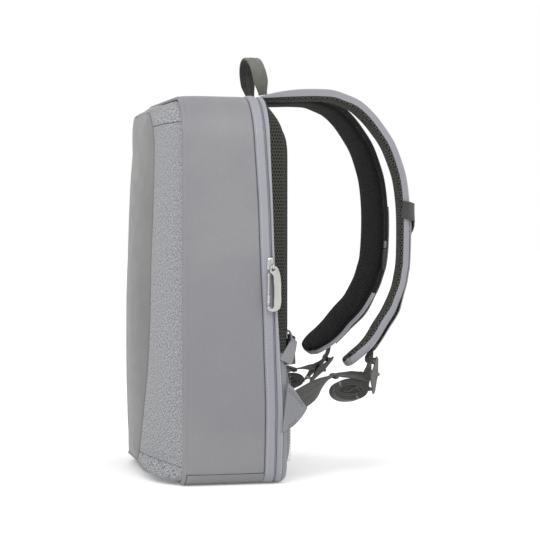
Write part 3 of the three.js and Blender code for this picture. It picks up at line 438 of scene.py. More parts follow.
class Finish:
    """A material's node tree, with short calls for the nodes that the patterns need."""

    def __init__(self, name, **sockets):
        self.material = bpy.data.materials.new(name)
        self.material.use_nodes = True
        self.tree = self.material.node_tree
        self.shader = self.tree.nodes["Principled BSDF"]
        for socket, value in sockets.items():
            self.shader.inputs[socket.replace("_", " ")].default_value = value

    def node(self, kind, inputs, output=0, **settings):
        made = self.tree.nodes.new(kind)
        for key, value in settings.items():
            setattr(made, key, value)
        for key, value in inputs.items():
            if isinstance(value, bpy.types.NodeSocket):
                self.tree.links.new(value, made.inputs[key])
            else:
                made.inputs[key].default_value = value
        return made.outputs[output]

    def math(self, operation, a, b=0.0, c=0.0):
        return self.node("ShaderNodeMath", {0: a, 1: b, 2: c}, operation=operation)

    def times(self, a, b):
        return self.math("MULTIPLY", a, b)

    def rising(self, low, value, amount):
        """A low value, plus an amount of another."""
        return self.math("ADD", low, self.times(value, amount))

    def vector(self, operation, a, b=(0.0, 0.0, 0.0)):
        return self.node("ShaderNodeVectorMath", {0: a, 1: b}, operation=operation)

    def length(self, a):
        return self.node("ShaderNodeVectorMath", {0: a}, output=1, operation="LENGTH")

    def noise(self, scale, detail=2.0, rough=0.5, place=None):
        """Noise over the part, or over another place."""
        words = {"Vector": place or self.place(), "Scale": scale, "Detail": detail, "Roughness": rough}
        return self.node("ShaderNodeTexNoise", words)

    def ramp(self, value, low, high, to_low=0.0, to_high=1.0):
        words = {0: value, 1: low, 2: high, 3: to_low, 4: to_high}
        return self.node("ShaderNodeMapRange", words, interpolation_type="SMOOTHSTEP")

    def vary(self, value, low, high):
        """A noise or a tone, brought between two values."""
        return self.ramp(value, 0.3, 0.7, low, high)

    def mix(self, share, a, b):
        return self.node("ShaderNodeMix", {0: share, 6: a, 7: b}, output=2, data_type="RGBA")

    def place(self):
        return self.node("ShaderNodeTexCoord", {}, output=3)

    def cloth_place(self, pitch):
        """Place on the cloth, in steps of its pitch in millimetres."""
        uv = self.node("ShaderNodeUVMap", {}, uv_map="metres")
        return self.vector("MULTIPLY", uv, (1 / (pitch * MM),) * 3)

    def split(self, vector):
        parts = self.node("ShaderNodeSeparateXYZ", {0: vector}).node.outputs
        return parts[0], parts[1]

    def bump(self, height, distance, strength=1.0, below=None):
        words = {"Height": height, "Distance": distance * MM, "Strength": strength}
        if below is not None:
            words["Normal"] = below
        return self.node("ShaderNodeBump", words)

    def worn_edges_and_hollow_shade(self, colour, amount):
        """The colour, lighter where edges stand out, as wear, and darker where they turn in, as painted
        shade.
        """
        edge = self.node("ShaderNodeNewGeometry", {}, output=7)
        share = self.ramp(edge, 0.46, 0.56, 1 - amount, 1 + amount)
        return self.scaled(colour, share)

    def scaled(self, colour, share):
        if isinstance(colour, tuple):
            colour = colour[:3]
        return self.node("ShaderNodeVectorMath", {0: colour, 3: share}, operation="SCALE")

    def done(self, colour=None, roughness=None, normal=None):
        for name, value in (("Base Color", colour), ("Roughness", roughness), ("Normal", normal)):
            if value is not None:
                self.tree.links.new(value, self.shader.inputs[name])
        return self.material


def weave_height(f, pitch):
    """Plain weave: threads over and under each other."""
    u, v = f.split(f.cloth_place(pitch))
    su, sv = (f.math("SINE", f.times(place, math.pi)) for place in (u, v))
    over = f.ramp(f.times(su, sv), -0.1, 0.1)
    warp, weft = f.math("ABSOLUTE", sv), f.math("ABSOLUTE", su)
    return f.math("ADD", f.times(over, warp), f.times(f.math("SUBTRACT", 1.0, over), weft))


def coated_cloth(name, colour, pitch=0.55, relief=0.035, gloss=0.56, warm=None):
    """Smooth cloth with a matt film over a fine weave."""
    f = Finish(name, Sheen_Weight=0.12, Sheen_Roughness=0.5, Specular_IOR_Level=0.42)
    weave = weave_height(f, pitch)
    base = f.mix(f.ramp(f.noise(9.0, 3.0), 0.35, 0.65), linear(colour), linear(warm or colour))
    shade = f.times(f.rising(0.965, weave, 0.04), f.vary(f.noise(420.0), 0.975, 1.025))
    rough = f.vary(f.noise(60.0, 3.0), gloss - 0.04, gloss + 0.06)
    soft = f.bump(f.noise(14.0), 1.2, 0.25)
    normal = f.bump(weave, relief, 0.8, soft)
    return f.done(f.worn_edges_and_hollow_shade(f.scaled(base, shade), 0.07), rough, normal)


def heather_cloth():
    """Two-tone melange weave: light and dark yarns that run a few stitches each."""
    f = Finish("heather_weave", Sheen_Weight=0.2, Sheen_Roughness=0.6, Roughness=0.88)
    place = f.cloth_place(1.0)
    yarns = []
    for stretch, seed in (((0.42, 1.7, 1.0), 0.0), ((1.7, 0.42, 1.0), 37.0)):
        moved = f.vector("ADD", f.vector("MULTIPLY", place, stretch), (seed, seed * 0.7, 0.0))
        yarns.append(f.times(f.noise(1.0, 2.0, 0.7, moved), 0.5))
    weave = weave_height(f, 0.9)
    share = f.ramp(f.math("ADD", *yarns), 0.43, 0.57)
    base = f.mix(share, linear("47484d"), linear("b2b3b7"))
    normal = f.bump(weave, 0.22, 0.9, f.bump(share, 0.12, 0.6))
    return f.done(f.scaled(base, f.rising(0.86, weave, 0.2)), None, normal)


def spacer_mesh(name, thread, hole, pitch=3.6):
    """Knitted mesh with staggered round holes over a dark foam."""
    f = Finish(name, Sheen_Weight=0.04, Sheen_Roughness=0.5, Roughness=0.9, Specular_IOR_Level=0.2)
    place = f.vector("MULTIPLY", f.cloth_place(pitch), (1.0, 1 / math.sqrt(3), 0.0))
    away = []
    for shift in ((0.0, 0.0, 0.0), (0.5, 0.5, 0.0)):
        cell = f.vector("FRACTION", f.vector("ADD", place, shift))
        cell = f.vector("SUBTRACT", cell, (0.5, 0.5, 0.0))
        away.append(f.length(f.vector("MULTIPLY", cell, (1.0, math.sqrt(3), 0.0))))
    thread_share = f.ramp(f.math("MINIMUM", *away), 0.24, 0.38)
    knit = weave_height(f, 0.7)
    base = f.mix(thread_share, linear(hole), linear(thread))
    normal = f.bump(knit, 0.12, 0.6, f.bump(thread_share, 1.0, 0.9))
    return f.done(f.scaled(base, f.rising(0.8, knit, 0.3)), None, normal)


def webbing(name, colour, rib=1.5, chevron=4.0):
    """Woven tape with slanting ribs that turn back and forth across it."""
    f = Finish(name, Sheen_Weight=0.2, Sheen_Roughness=0.5, Roughness=0.8)
    u, v = f.split(f.cloth_place(1.0))
    turn = f.math("PINGPONG", u, chevron)
    wave = f.math("SINE", f.times(f.math("ADD", v, turn), 2 * math.pi / rib))
    shade = f.times(f.rising(0.93, wave, 0.1), f.vary(f.noise(120.0), 0.92, 1.08))
    normal = f.bump(weave_height(f, 0.5), 0.1, 0.6, f.bump(wave, 0.18, 0.9))
    return f.done(f.scaled(linear(colour), shade), None, normal)


def moulded_plastic(name, colour):
    f = Finish(name, Roughness=0.42, Specular_IOR_Level=0.5)
    grain = f.noise(1500.0, 3.0)
    base = f.worn_edges_and_hollow_shade(f.scaled(linear(colour), f.vary(f.noise(80.0), 0.93, 1.07)), 0.25)
    return f.done(base, f.vary(grain, 0.36, 0.5), f.bump(grain, 0.05, 0.5))


def pull_rubber():
    f = Finish("soft_rubber", Roughness=0.55, Specular_IOR_Level=0.45)
    grain = f.noise(900.0, 3.0)
    base = f.worn_edges_and_hollow_shade(f.scaled(linear("29292b"), f.vary(grain, 0.9, 1.12)), 0.3)
    return f.done(base, f.vary(grain, 0.5, 0.64), f.bump(grain, 0.06, 0.5))


def brushed_metal(name, colour):
    """Satin metal with fine brush lines along its height."""
    f = Finish(name, Metallic=1.0, Roughness=0.34, Anisotropic=0.4)
    lines = f.noise(1.0, 3.0, place=f.vector("MULTIPLY", f.place(), (2600.0, 2600.0, 60.0)))
    tone = f.times(f.vary(lines, 0.94, 1.05), f.vary(f.noise(90.0), 0.96, 1.04))
    base = f.worn_edges_and_hollow_shade(f.scaled(linear(colour), tone), 0.2)
    return f.done(base, f.vary(lines, 0.28, 0.4), f.bump(lines, 0.02, 0.35))


look = SimpleNamespace(
    side=coated_cloth("side_cloth", "76767b", warm="7c7c7e"),
    front=coated_cloth("front_panel_cloth", "6b6b6c", gloss=0.5, warm="70706f"),
    lip=coated_cloth("lip_cloth", "84858d", pitch=0.7, warm="88898f"),
    back=coated_cloth("back_cloth", "75767a", pitch=0.8, relief=0.06, warm="7a7b7d"),
    strap=coated_cloth("strap_cloth", "7c7d84", warm="808186"),
    overlay=coated_cloth("overlay_cloth", "88888a", warm="8d8d8c"),
    heather=heather_cloth(),
    pad_mesh=spacer_mesh("pad_mesh", "383933", "050505", 4.4),
    strap_mesh=spacer_mesh("strap_mesh_cloth", "484943", "030303", 4.0),
    # Darker copy of the strap mesh cloth: painted shade, for the far strap's mesh half and the covers'
    # facing edges.
    painted_shade_mesh=spacer_mesh("strap_mesh_painted_shade", "1b1c1a", "040404", 2.8),
    webbing=webbing("webbing_weave", "3d3e3b"),
    handle=webbing("handle_weave", "67675f", rib=1.2, chevron=9.0),
    elastic=webbing("elastic_weave", "3a3a39", rib=1.0, chevron=25.0),
    binding=webbing("binding_weave", "2e2f2c", rib=0.8, chevron=3.0),
    thread=coated_cloth("sewing_thread", "a4a5ab", pitch=0.3),
    # Dark thread for the tab's stitches, and painted shade inside the webbing rolls.
    dark_thread_and_roll_shade=coated_cloth("dark_thread_and_roll_shade", "232422", pitch=0.3),
    # Darker copy of the adjuster plastic, for the far adjuster: painted shade.
    plastic=moulded_plastic("adjuster_acetal_painted_shade", "3c3d3b"),
    rubber=pull_rubber(),
    metal=brushed_metal("satin_nickel", "b4b4b1"),
    gunmetal=brushed_metal("dark_nickel", "777775"),
    adjuster=moulded_plastic("adjuster_acetal", "50514d"),
)

# Body outline, seen from the front, in five runs from the middle of the base to the middle of the
# crown: base, foot corner, side, crown corner, top. A place on it is its run plus a share of the run.
RUN_STEPS = (10, 14, 64, 22, 16)
FOOT_CORNER = 1
CROWN_CORNER = 3
SEAM_STEPS = np.array([0, 0.012, 0.03, 0.055, 0.09])


def pick(run, *choices):
    return np.choose(run, [np.broadcast_to(c, run.shape) for c in choices])


def body_edge(order, side):
    run = np.minimum(order.astype(int), len(RUN_STEPS) - 1)
    t = order - run
    foot, crown = (t - 1) * QUARTER, t * QUARTER
    nx = pick(run, 0, np.cos(foot), 1, np.cos(crown), 0)
    nz = pick(run, -1, np.sin(foot), 0, np.sin(crown), 1)
    foot_x, crown_x = HALF - FOOT_RADIUS, HALF - CROWN_RADIUS
    crown_turn = crown_x + CROWN_RADIUS * nx
    x = pick(run, t * foot_x, foot_x + FOOT_RADIUS * nx, HALF, crown_turn, (1 - t) * crown_x)
    side_z = lerp(FOOT_RADIUS, HEIGHT - CROWN_RADIUS, t)
    z = pick(run, 0, FOOT_RADIUS * (1 + nz), side_z, HEIGHT - CROWN_RADIUS * (1 - nz), HEIGHT)
    return SimpleNamespace(x=x * side, z=z, nx=nx * side, nz=nz, order=order, side=side)


def half_order():
    places = [run + np.arange(steps) / steps for run, steps in enumerate(RUN_STEPS)]
    return np.append(np.concatenate(places), float(len(RUN_STEPS)))


def edge_of(right, left):
    """Outline through places on the right half, then on the left half."""
    order = np.concatenate([right, left])
    side = np.concatenate([np.ones(len(right)), -np.ones(len(left))])
    return body_edge(order, side)


def foot_corner_at(z):
    return FOOT_CORNER + 1 + math.asin((z - FOOT_RADIUS) / FOOT_RADIUS) / QUARTER


def all_round():
    order = half_order()
    return edge_of(order, order[-2:0:-1])


def over_top():
    seam = foot_corner_at(FOOT_SEAM + CLEARANCE / 2)
    order = half_order()
    order = np.concatenate([seam + SEAM_STEPS, order[order > seam + SEAM_STEPS[-1] + 0.02]])
    return edge_of(order, order[-2::-1])


def under_foot():
    seam = foot_corner_at(FOOT_SEAM - CLEARANCE / 2)
    order = half_order()
    order = np.concatenate([order[order < seam - SEAM_STEPS[-1] - 0.02], seam - SEAM_STEPS[::-1]])
    return under_edge(order)


# Back edge of the side, and the rear lip's width, at heights above the base.
BACK_LINE = [
    [15, 60, 8.5], [75, 60.8, 8], [153, 57, 6.2],
    [190, 54.8, 5], [268, 50.4, 4.1], [322, 48.6, 4.2],
    [368, 46.6, 5], [429, 44.4, 6.6], [450, 44, 7],
]


def read_at(table, z, column=0):
    """One column of a table, at places of any shape."""
    return read(table, np.ravel(z))[column].reshape(np.shape(z))


def back_y(z):
    return read_at(BACK_LINE, z)


def zip_y(z):
    return back_y(z) - read_at(BACK_LINE, z, 1)


def flap_seam_y(z):
    return zip_y(z) - ZIP_FLAP


def back_plane(z):
    """Plane of the back, which falls away towards the crown."""
    fall = np.maximum(0, (z - DIP_START) / DIP_RUN) ** 3
    return np.maximum(back_y(z) + CLEARANCE + CLOTH + 1, BACK_PLANE - BACK_DIP * fall)


def soft_dent(x, y, z, depth):
    """Slow unevenness of stretched cloth."""
    return depth * (np.sin(x / 37 + z / 53) * np.sin(z / 31 - y / 19) + 0.5 * np.sin(z / 17 + y / 11))


def outline_rows(edge, section):
    """Rows of a cloth strip that follows the outline: section(z) gives insets and y values."""
    insets, ys = section(edge.z)
    x, nx, z, nz = (values[:, None] for values in (edge.x, edge.nx, edge.z, edge.nz))
    return columns(x - insets * nx, ys, z - insets * nz)


def inside(edge, inset, y):
    """Points at an inset from the outline."""
    return columns(edge.x - inset * edge.nx, y, edge.z - inset * edge.nz)


def tucked(edge, section):
    """The section, turned in at the two ends of the strip."""

    def made(z):
        insets, ys = section(z)
        run = run_length(columns(edge.x, edge.z))
        end = np.minimum(run, run[-1] - run)
        outer = insets < CLOTH * 0.8
        return insets + outer * roll_in(end, 2.4)[:, None], ys

    return made


def eased(low, high, count, bunch=2.2):
    """Values between two ends, closer together near both."""
    t = np.linspace(-1, 1, count)
    return lerp(low, high, 0.5 + 0.5 * np.sign(t) * (1 - (1 - abs(t)) ** bunch))


def gusset_section(z):
    front = FRONT_Y + CLOTH - 1
    end = flap_seam_y(z)[:, None] - CLEARANCE / 2
    share = eased(0, 1, 30)[None]
    y = lerp(front, end, share)
    inset = -0.7 * (1 - (2 * share - 1) ** 4) + 0.35 * smooth((front + 3 - y) / 3)
    inset = inset + roll_in(end - y, 3.2) * 0.8 + soft_dent(0, y, z[:, None], 0.16)
    inner = np.full((len(z), 2), float(CLOTH))
    ys = np.hstack([y, end, np.full_like(end, front)])
    return np.hstack([inset, inner]), ys


def lip_section(from_y, to_y, swell, low=0.5):
    """Padded lip between two lines on the body: a flattened oval with a sewn groove."""

    def made(z):
        start, end = from_y(z)[:, None], to_y(z)[:, None]
        share = eased(0, 1, 15)[None]
        y = lerp(start, end, share)
        bulge = (1 - abs(2 * share - 1) ** 2.6) ** 0.75
        fade = np.clip(z / FOOT_SEAM, 0, 1)[:, None]
        inset = low - (swell * fade + low) * bulge
        ys = np.hstack([y, end, start])
        return np.hstack([inset, np.full((len(z), 2), float(FLAP_THICK))]), ys

    return made


def rim_section(z):
    angles = np.linspace(0, 4 * QUARTER, 25)[:-1]
    across, out = squared(np.cos(angles), 0.8), squared(np.sin(angles), 0.8)
    inset = RIM_WIDTH / 2 + (RIM_WIDTH / 2 - 0.1) * across
    depth = (CLOTH + RIM_PROUD) / 2
    y = FRONT_Y - RIM_PROUD + depth - depth * out
    rows = len(z)
    return np.tile(inset, (rows, 1)), np.tile(y, (rows, 1))


def bottom_section(z):
    front = FRONT_Y + CLOTH + CLEARANCE
    end = flap_seam_y(z)[:, None]
    y = lerp(front, end, eased(0, 1, 24)[None])
    inset = roll_in(y - front, 2.2) * 0.5 + roll_in(end - y, 2.4) * 0.6
    inset = inset * np.clip(z / FOOT_SEAM * 2, 0, 1)[:, None]
    ys = np.hstack([y, end, np.full_like(end, front)])
    return np.hstack([inset, np.full((len(z), 2), float(CLOTH))]), ys


def zip_section(z):
    """Tape behind the lips, with the closed row of teeth standing in the slit."""
    top = FLAP_THICK + CLEARANCE
    slit = zip_y(z)[:, None]
    back = back_y(z)[:, None] - CLEARANCE
    ridge = 0.62
    rows = [
        (top, back),
        (top, slit + ridge + 0.2),
        (1.5, slit + ridge),
        (1.1, slit + ridge * 0.6),
        (1.1, slit - ridge * 0.6),
        (1.5, slit - ridge),
        (top, slit - ridge - 0.2),
        (top, back - TAPE_WIDTH),
        (top + TAPE_THICK, back - TAPE_WIDTH),
        (top + TAPE_THICK, back),
    ]
    insets = np.hstack([np.full_like(slit, inset) for inset, _ in rows])
    return insets, np.hstack([y for _, y in rows])


def build_shell():
    round_edge, top_edge, foot_edge = all_round(), over_top(), under_foot()
    strips = [
        ("front_rim", round_edge, rim_section, look.side, "shell_cloth", True),
        ("side_gusset", top_edge, tucked(top_edge, gusset_section), look.side, "shell_cloth", False),
        ("bottom_gusset", foot_edge, bottom_section, look.side, "shell_cloth", False),
        ("zip_tape", round_edge, zip_section, look.lip, "zip_tape", True),
    ]
    front_lip = (lambda z: flap_seam_y(z) + CLEARANCE / 2, lambda z: zip_y(z) - ZIP_SLIT / 2, FLAP_SWELL)
    rear_lip = (lambda z: zip_y(z) + ZIP_SLIT / 2, back_y, FLAP_SWELL * 0.35)
    for word, lip in (("front", front_lip), ("rear", rear_lip)):
        section = lip_section(*lip)
        strips.append(("zip_flap_" + word, round_edge, section, look.lip, "zip_cloth", True))
    for name, edge, section, material, slot, closed in strips:
        rows = outline_rows(edge, section)
        loft(name + "_cloth", rows, material, slot, closed, stands_for=[name])
    build_lip_stitches(top_edge)


def build_lip_stitches(edge):
    """Sewing along both lips, beside the slit and beside the side's seam."""
    lines = []
    for line, inset in (
        (lambda z: flap_seam_y(z) + 2.4, -FLAP_SWELL * 0.72),
        (lambda z: back_y(z) - 1.7, -FLAP_SWELL * 0.3),
    ):
        lines.append((inside(edge, inset, line(edge.z)), columns(edge.nx, 0, edge.nz)))
    stitches("zip_flap_stitches", lines, look.thread, "zip_cloth")


# Edge of the front panel: share of the height, half width as a share of the body's, reach share.
PANEL_EDGE = [
    [0.044, 0.253, 0.87], [0.087, 0.32, 0.835], [0.147, 0.38, 0.8],
    [0.211, 0.44, 0.765], [0.296, 0.493, 0.71], [0.378, 0.513, 0.675],
    [0.458, 0.517, 0.65], [0.576, 0.527, 0.63], [0.722, 0.553, 0.585],
    [0.867, 0.58, 0.565], [0.962, 0.58, 0.63],
]

# Middle of the front panel: share of the height, reach share.
PANEL_MIDDLE = [
    [0.053, 0.87], [0.102, 0.945], [0.187, 0.98], [0.322, 1],
    [0.46, 0.995], [0.589, 0.945], [0.704, 0.9], [0.78, 0.855],
    [0.882, 0.74], [0.929, 0.675], [0.962, 0.635],
]


def panel_edge(edge):
    """Panel's rim at the same places as the body's outline."""
    low, high = PANEL_FOOT + PANEL_FOOT_RADIUS, PANEL_TOP - PANEL_CROWN_RADIUS
    run = np.minimum(edge.order.astype(int), len(RUN_STEPS) - 1)
    t = edge.order - run
    foot, crown = (t - 1) * QUARTER, t * QUARTER
    side_z = lerp(low, high, t)
    side_half = HALF * read(PANEL_EDGE, side_z / HEIGHT)[0]
    low_half, high_half = (HALF * read(PANEL_EDGE, z / HEIGHT)[0][0] for z in (low, high))
    foot_x, crown_x = low_half - PANEL_FOOT_RADIUS, high_half - PANEL_CROWN_RADIUS
    x = pick(
        run,
        t * foot_x,
        foot_x + PANEL_FOOT_RADIUS * np.cos(foot),
        side_half,
        crown_x + PANEL_CROWN_RADIUS * np.cos(crown),
        (1 - t) * crown_x,
    )
    z = pick(
        run,
        PANEL_FOOT,
        low + PANEL_FOOT_RADIUS * np.sin(foot),
        side_z,
        high + PANEL_CROWN_RADIUS * np.sin(crown),
        PANEL_TOP,
    )
    y = FRONT_Y - PANEL_REACH * read(PANEL_EDGE, z / HEIGHT)[1]
    return columns(x * edge.side, y, z)


BAND_STEPS = 26
BAND_TUCK = 2.6
BAND_LEAN = 0.66


def band_rows(edge):
    outer = inside(edge, RIM_WIDTH + CLEARANCE * 2, FRONT_Y + CLEARANCE)
    inner = panel_edge(edge)
    across = (outer - inner) * (1, 0, 1)
    run = np.linalg.norm(across, axis=1, keepdims=True)
    normal = unit(across / run * (outer[:, 1:2] - inner[:, 1:2]) + np.array([0, -1, 0]) * run)
    footward = np.where(edge.order < 1, 1, np.clip(2 - edge.order, 0, 1))
    swell = lerp(BAND_CROWN, BAND_CROWN_FOOT, smooth(footward))[:, None]
    share = eased(0, 1, BAND_STEPS)
    width = np.linalg.norm(outer - inner, axis=1)[:, None]
    skew = lerp(1, BAND_LEAN, smooth(footward))[:, None]
    run = run_length(outer)
    ends = np.minimum(run, run[-1] - run)[:, None]
    sides = roll_in(share * width, BAND_TUCK) + roll_in((1 - share) * width, BAND_TUCK)
    tuck = 0.8 * sides + 0.7 * roll_in(ends, BAND_TUCK)

    def domed(share, tuck):
        lift = swell * np.sin(math.pi * share[None] ** skew) - tuck
        flat = outer[:, None] + (inner - outer)[:, None] * share[:, None]
        return flat + lift[..., None] * normal[:, None]

    low = np.linspace(1, 0, 9)
    top, base = domed(share, tuck), domed(low, 0)
    turn = (low**3)[:, None]
    base = base + lerp(-CLOTH * normal[:, None], np.array([0.0, CLOTH, 0.0]), turn)
    top[..., 2] = np.maximum(top[..., 2], CLEARANCE)
    base[..., 2] = np.maximum(base[..., 2], CLOTH)
    return np.concatenate([top, base], axis=1)


FINE_STEPS = SEAM_STEPS * 0.8


def build_bands():
    foot_mid, crown_mid = FOOT_CORNER + 0.96, CROWN_CORNER + 0.27
    gap = 0.002
    low, high = foot_mid + gap, crown_mid - gap
    order = half_order()
    middle = order[(order > low + 0.1) & (order < high - 0.1)]
    side = np.concatenate([low + FINE_STEPS, middle, high - FINE_STEPS[::-1]])
    top = np.concatenate([crown_mid + gap + FINE_STEPS, order[order > crown_mid + 0.09]])
    foot = np.concatenate([order[order < foot_mid - 0.1], foot_mid - gap - FINE_STEPS[::-1]])
    nothing = np.array([])
    bands = {
        "band_right": edge_of(side, nothing),
        "band_left": edge_of(nothing, side),
        "band_top": edge_of(top, top[-2::-1]),
        "band_bottom": under_edge(foot),
    }
    for name, edge in bands.items():
        loft(name + "_cloth", band_rows(edge), look.heather, "heather_cloth", stands_for=[name])


def under_edge(foot):
    """Outline under the foot as one run, from the left side to the right one."""
    order = np.concatenate([foot[::-1], foot[1:]])
    side = np.concatenate([-np.ones(len(foot)), np.ones(len(foot) - 1)])
    return body_edge(order, side)


def build_panel():
    """Domed panel as rings that shrink from its edge to a line up its middle."""
    edge = panel_edge(all_round())
    low, high = PANEL_FOOT + PANEL_FOOT_RADIUS * 2.5, PANEL_TOP - PANEL_CROWN_RADIUS * 1.5
    at = np.clip(edge[:, 2], low, high)
    middle = columns(0, FRONT_Y - PANEL_REACH * read(PANEL_MIDDLE, at / HEIGHT)[0], at)
    width = np.linalg.norm(edge - middle, axis=1)
    inset = (CLEARANCE * 1.4 / width)[:, None]

    def ring(share, back):
        point = edge + (middle - edge) * lerp(1, inset, share)
        y = lerp(middle[:, 1], edge[:, 1], share**2.4) + back
        return columns(point[:, 0], y + 0.7 * roll_in((1 - share) * width, 2.4), point[:, 2])

    shares = 1 - (1 - np.linspace(0, 1, 22)) ** 1.6
    rows = [ring(s, 0) for s in shares] + [ring(s, CLOTH) for s in shares[::-4]]
    loft("front_panel_cloth", rows, look.front, "front_cloth", stands_for=["front_panel"])


build_shell()
build_bands()
build_panel()

# Back wall: a rounded edge round a flat middle, as (across, out) shares.
BACK_PROFILE = [[0, 0], [0.13, 0.5], [0.45, 0.85], [1, 1]]


def back_rounding(order):
    foot_side = lerp(BACK_EDGE_FOOT, BACK_EDGE_SIDE, 0.25)
    sizes = [BACK_EDGE_FOOT, foot_side, BACK_EDGE_SIDE, BACK_EDGE_SIDE, BACK_EDGE_TOP]
    return np.interp(order, [1, 2, 2.25, 3, 4], sizes)


MESH_FOOT = 150


def lay_mesh(piece):
    """Lays the cloth flat on the back, and on round its sides."""
    mesh = piece.data
    corners = np.array([mesh.vertices[loop.vertex_index].co for loop in mesh.loops])
    across = np.sign(corners[:, 0]) * (abs(corners[:, 0]) - corners[:, 1])
    mesh.uv_layers["metres"].data.foreach_set("uv", columns(across, corners[:, 2]).ravel())


def build_back_wall():
    edge = all_round()
    share = np.linspace(0, 1, 15) ** 1.4
    out = read(BACK_PROFILE, share)[0]
    rounding = back_rounding(edge.order)
    start = back_y(edge.z) + CLEARANCE
    spine_z = np.clip(edge.z, HEIGHT * 0.3, HEIGHT * 0.7)

    def ring(across, rise, inner):
        inset = CLEARANCE + across * rounding + inner * CLOTH * (1 - across)
        x, z = edge.x - inset * edge.nx, edge.z - inset * edge.nz
        return columns(x, lerp(start, back_plane(z), rise) - inner * CLOTH * rise, z)

    def middle(share, inner):
        x, _, z = ring(1, 1, inner).T
        z = lerp(z, spine_z, share)
        return columns(x * (1 - share), back_plane(z) - inner * CLOTH, z)

    pairs = list(zip(share, out))
    face = [ring(a, o, 0) for a, o in pairs] + [middle(m, 0) for m in np.linspace(0.05, 0.96, 16)]
    inside = [middle(m, 1) for m in (0.96, 0.5, 0.1)] + [ring(a, o, 1) for a, o in pairs[::-3]]
    wall = loft("back_panel_cloth", inside + face, look.back, "back_cloth", stands_for=["back_panel"])
    lay_mesh(wall)
    wall.data.materials.append(look.pad_mesh)
    for polygon in wall.data.polygons:
        if polygon.center.z > MESH_FOOT * MM:
            polygon.material_index = 1


# Mesh pad: share of half the width, share of the thickness.
PAD_SECTION = [[0, 0.4], [0.06, 0.42], [0.25, 0.85], [0.47, 1], [0.7, 0.56], [0.93, 0.15], [1, 0.06]]


def pad_relief(across, up):
    """Thickness share of the mesh pad at a place given in shares of its half width and height."""
    crest = read_at(PAD_SECTION, abs(across))
    ends = np.clip(np.minimum(up, 1 - up) / 0.09, 0, 1)
    return crest * np.sqrt(1 - (1 - ends) ** 2 * 0.9)


PUFF = SimpleNamespace(voxel=5.0, pressure=4.0, held=2.5, moments=20)


def puffed(piece, seat, most=3.0):
    """Swells a pad from inside with a short cloth simulation. Its back stays on the wall."""
    remesh = piece.modifiers.new("remesh", "REMESH")
    remesh.mode = "VOXEL"
    remesh.voxel_size = PUFF.voxel * MM
    rest = baked(piece)
    held = piece.vertex_groups.new(name="held")
    low = [i for i, at in enumerate(rest) if at[1] < seat(at[2] / MM) * MM + PUFF.held * MM]
    held.add(low, 1.0, "REPLACE")
    cloth = piece.modifiers.new("cloth", "CLOTH").settings
    cloth.use_pressure = True
    cloth.uniform_pressure_force = PUFF.pressure
    cloth.effector_weights.gravity = 0
    cloth.vertex_group_mass = "held"
    for moment in range(1, PUFF.moments + 1):
        bpy.context.scene.frame_set(moment)
    moved = baked(piece) - rest
    bpy.context.scene.frame_set(1)
    far = np.linalg.norm(moved, axis=1, keepdims=True).clip(1e-9)
    at = rest + moved * np.minimum(1, most * MM / far)
    mesh = piece.data
    mesh.vertices.foreach_set("co", at.ravel())
    layer = mesh.uv_layers.get("metres") or mesh.uv_layers.new(name="metres")
    corners = np.array([loop.vertex_index for loop in mesh.loops])
    layer.data.foreach_set("uv", at[corners][:, [0, 2]].ravel())
    for polygon in mesh.polygons:
        polygon.use_smooth = True
    piece.modifiers.new("smooth", "SUBSURF").levels = 1


def mesh_of(piece):
    return bpy.data.meshes.new_from_object(piece.evaluated_get(bpy.context.evaluated_depsgraph_get()))


def baked(piece):
    """Applies a piece's modifiers and gives its points, in metres."""
    made = mesh_of(piece)
    piece.modifiers.clear()
    piece.data = made
    points = np.empty(len(made.vertices) * 3)
    made.vertices.foreach_get("co", points)
    return points.reshape(-1, 3)


def build_back_pad():
    a, b = np.meshgrid(eased(-1, 1, 61), eased(0, 1, 67))
    high = PAD_TOP - PAD_FOOT
    near_end = np.minimum(b, 1 - b) * high
    z = lerp(PAD_FOOT, PAD_TOP, b)
    seat = back_plane(z) + CLEARANCE * 1.5
    x = a * (PAD_WIDTH / 2 - roll_in(near_end, 26))
    top, base = columns(x, seat + PAD_THICK * pad_relief(a, b), z), columns(x, seat, z)
    rows = np.concatenate([top, base[:, ::-6]], axis=1)
    pad = loft("back_pad_mesh", rows, look.pad_mesh, "spacer_mesh", stands_for=["back_pad"])
    puffed(pad, back_plane)
    rim = np.concatenate([top[:, 0], top[-1, 1:-1], top[::-1, -1], top[0, -2:0:-1]])
    rim[:, 1] = back_plane(rim[:, 2]) + 1.2
    rows = tube_rows(ring_spline(rim, 3.0), BINDING_RADIUS, closed=True)
    loft("back_pad_binding", rows, look.binding, "spacer_mesh", closed=True)


def rounded_box(half_x, low, high, radius, count=10):
    """Closed outline of a box with round corners, as (x, z) pairs, and its outward directions."""
    points, away = [], []
    corners = [(half_x - radius, high - radius), (radius - half_x, high - radius)]
    corners += [(radius - half_x, low + radius), (half_x - radius, low + radius)]
    for turn, (cx, cz) in enumerate(corners):
        for i in range(count + 1):
            angle = (turn + i / count) * QUARTER
            direction = (math.cos(angle), math.sin(angle))
            points.append((cx + radius * direction[0], cz + radius * direction[1]))
            away.append(direction)
    return np.array(points), np.array(away)


def build_lower_pad():
    seat = BACK_PLANE + CLEARANCE
    outline, away = rounded_box(LOWER_PAD_WIDTH / 2, LOWER_PAD_FOOT, LOWER_PAD_TOP, LOWER_PAD_RADIUS)
    rows = []
    for share in np.linspace(0, 1, 12):
        inset = LOWER_PAD_SLOPE * share**2
        rise = 1 - (1 - share) ** 2.4
        x, z = (outline - inset * away).T
        rows.append(columns(x, seat + rise * LOWER_PAD_THICK, z))
    pad = loft("lower_back_pad_cloth", rows, look.back, "back_cloth", stands_for=["lower_back_pad"])
    puffed(pad, lambda z: seat, most=2.0)
    x, z = (outline - LOWER_PAD_STITCH * away).T
    path = spline(looped(columns(x, seat + LOWER_PAD_THICK * 0.99, z)), 2.0)
    stitches("lower_back_pad_stitches", [(path, (0, 1, 0))], look.thread, "back_cloth")


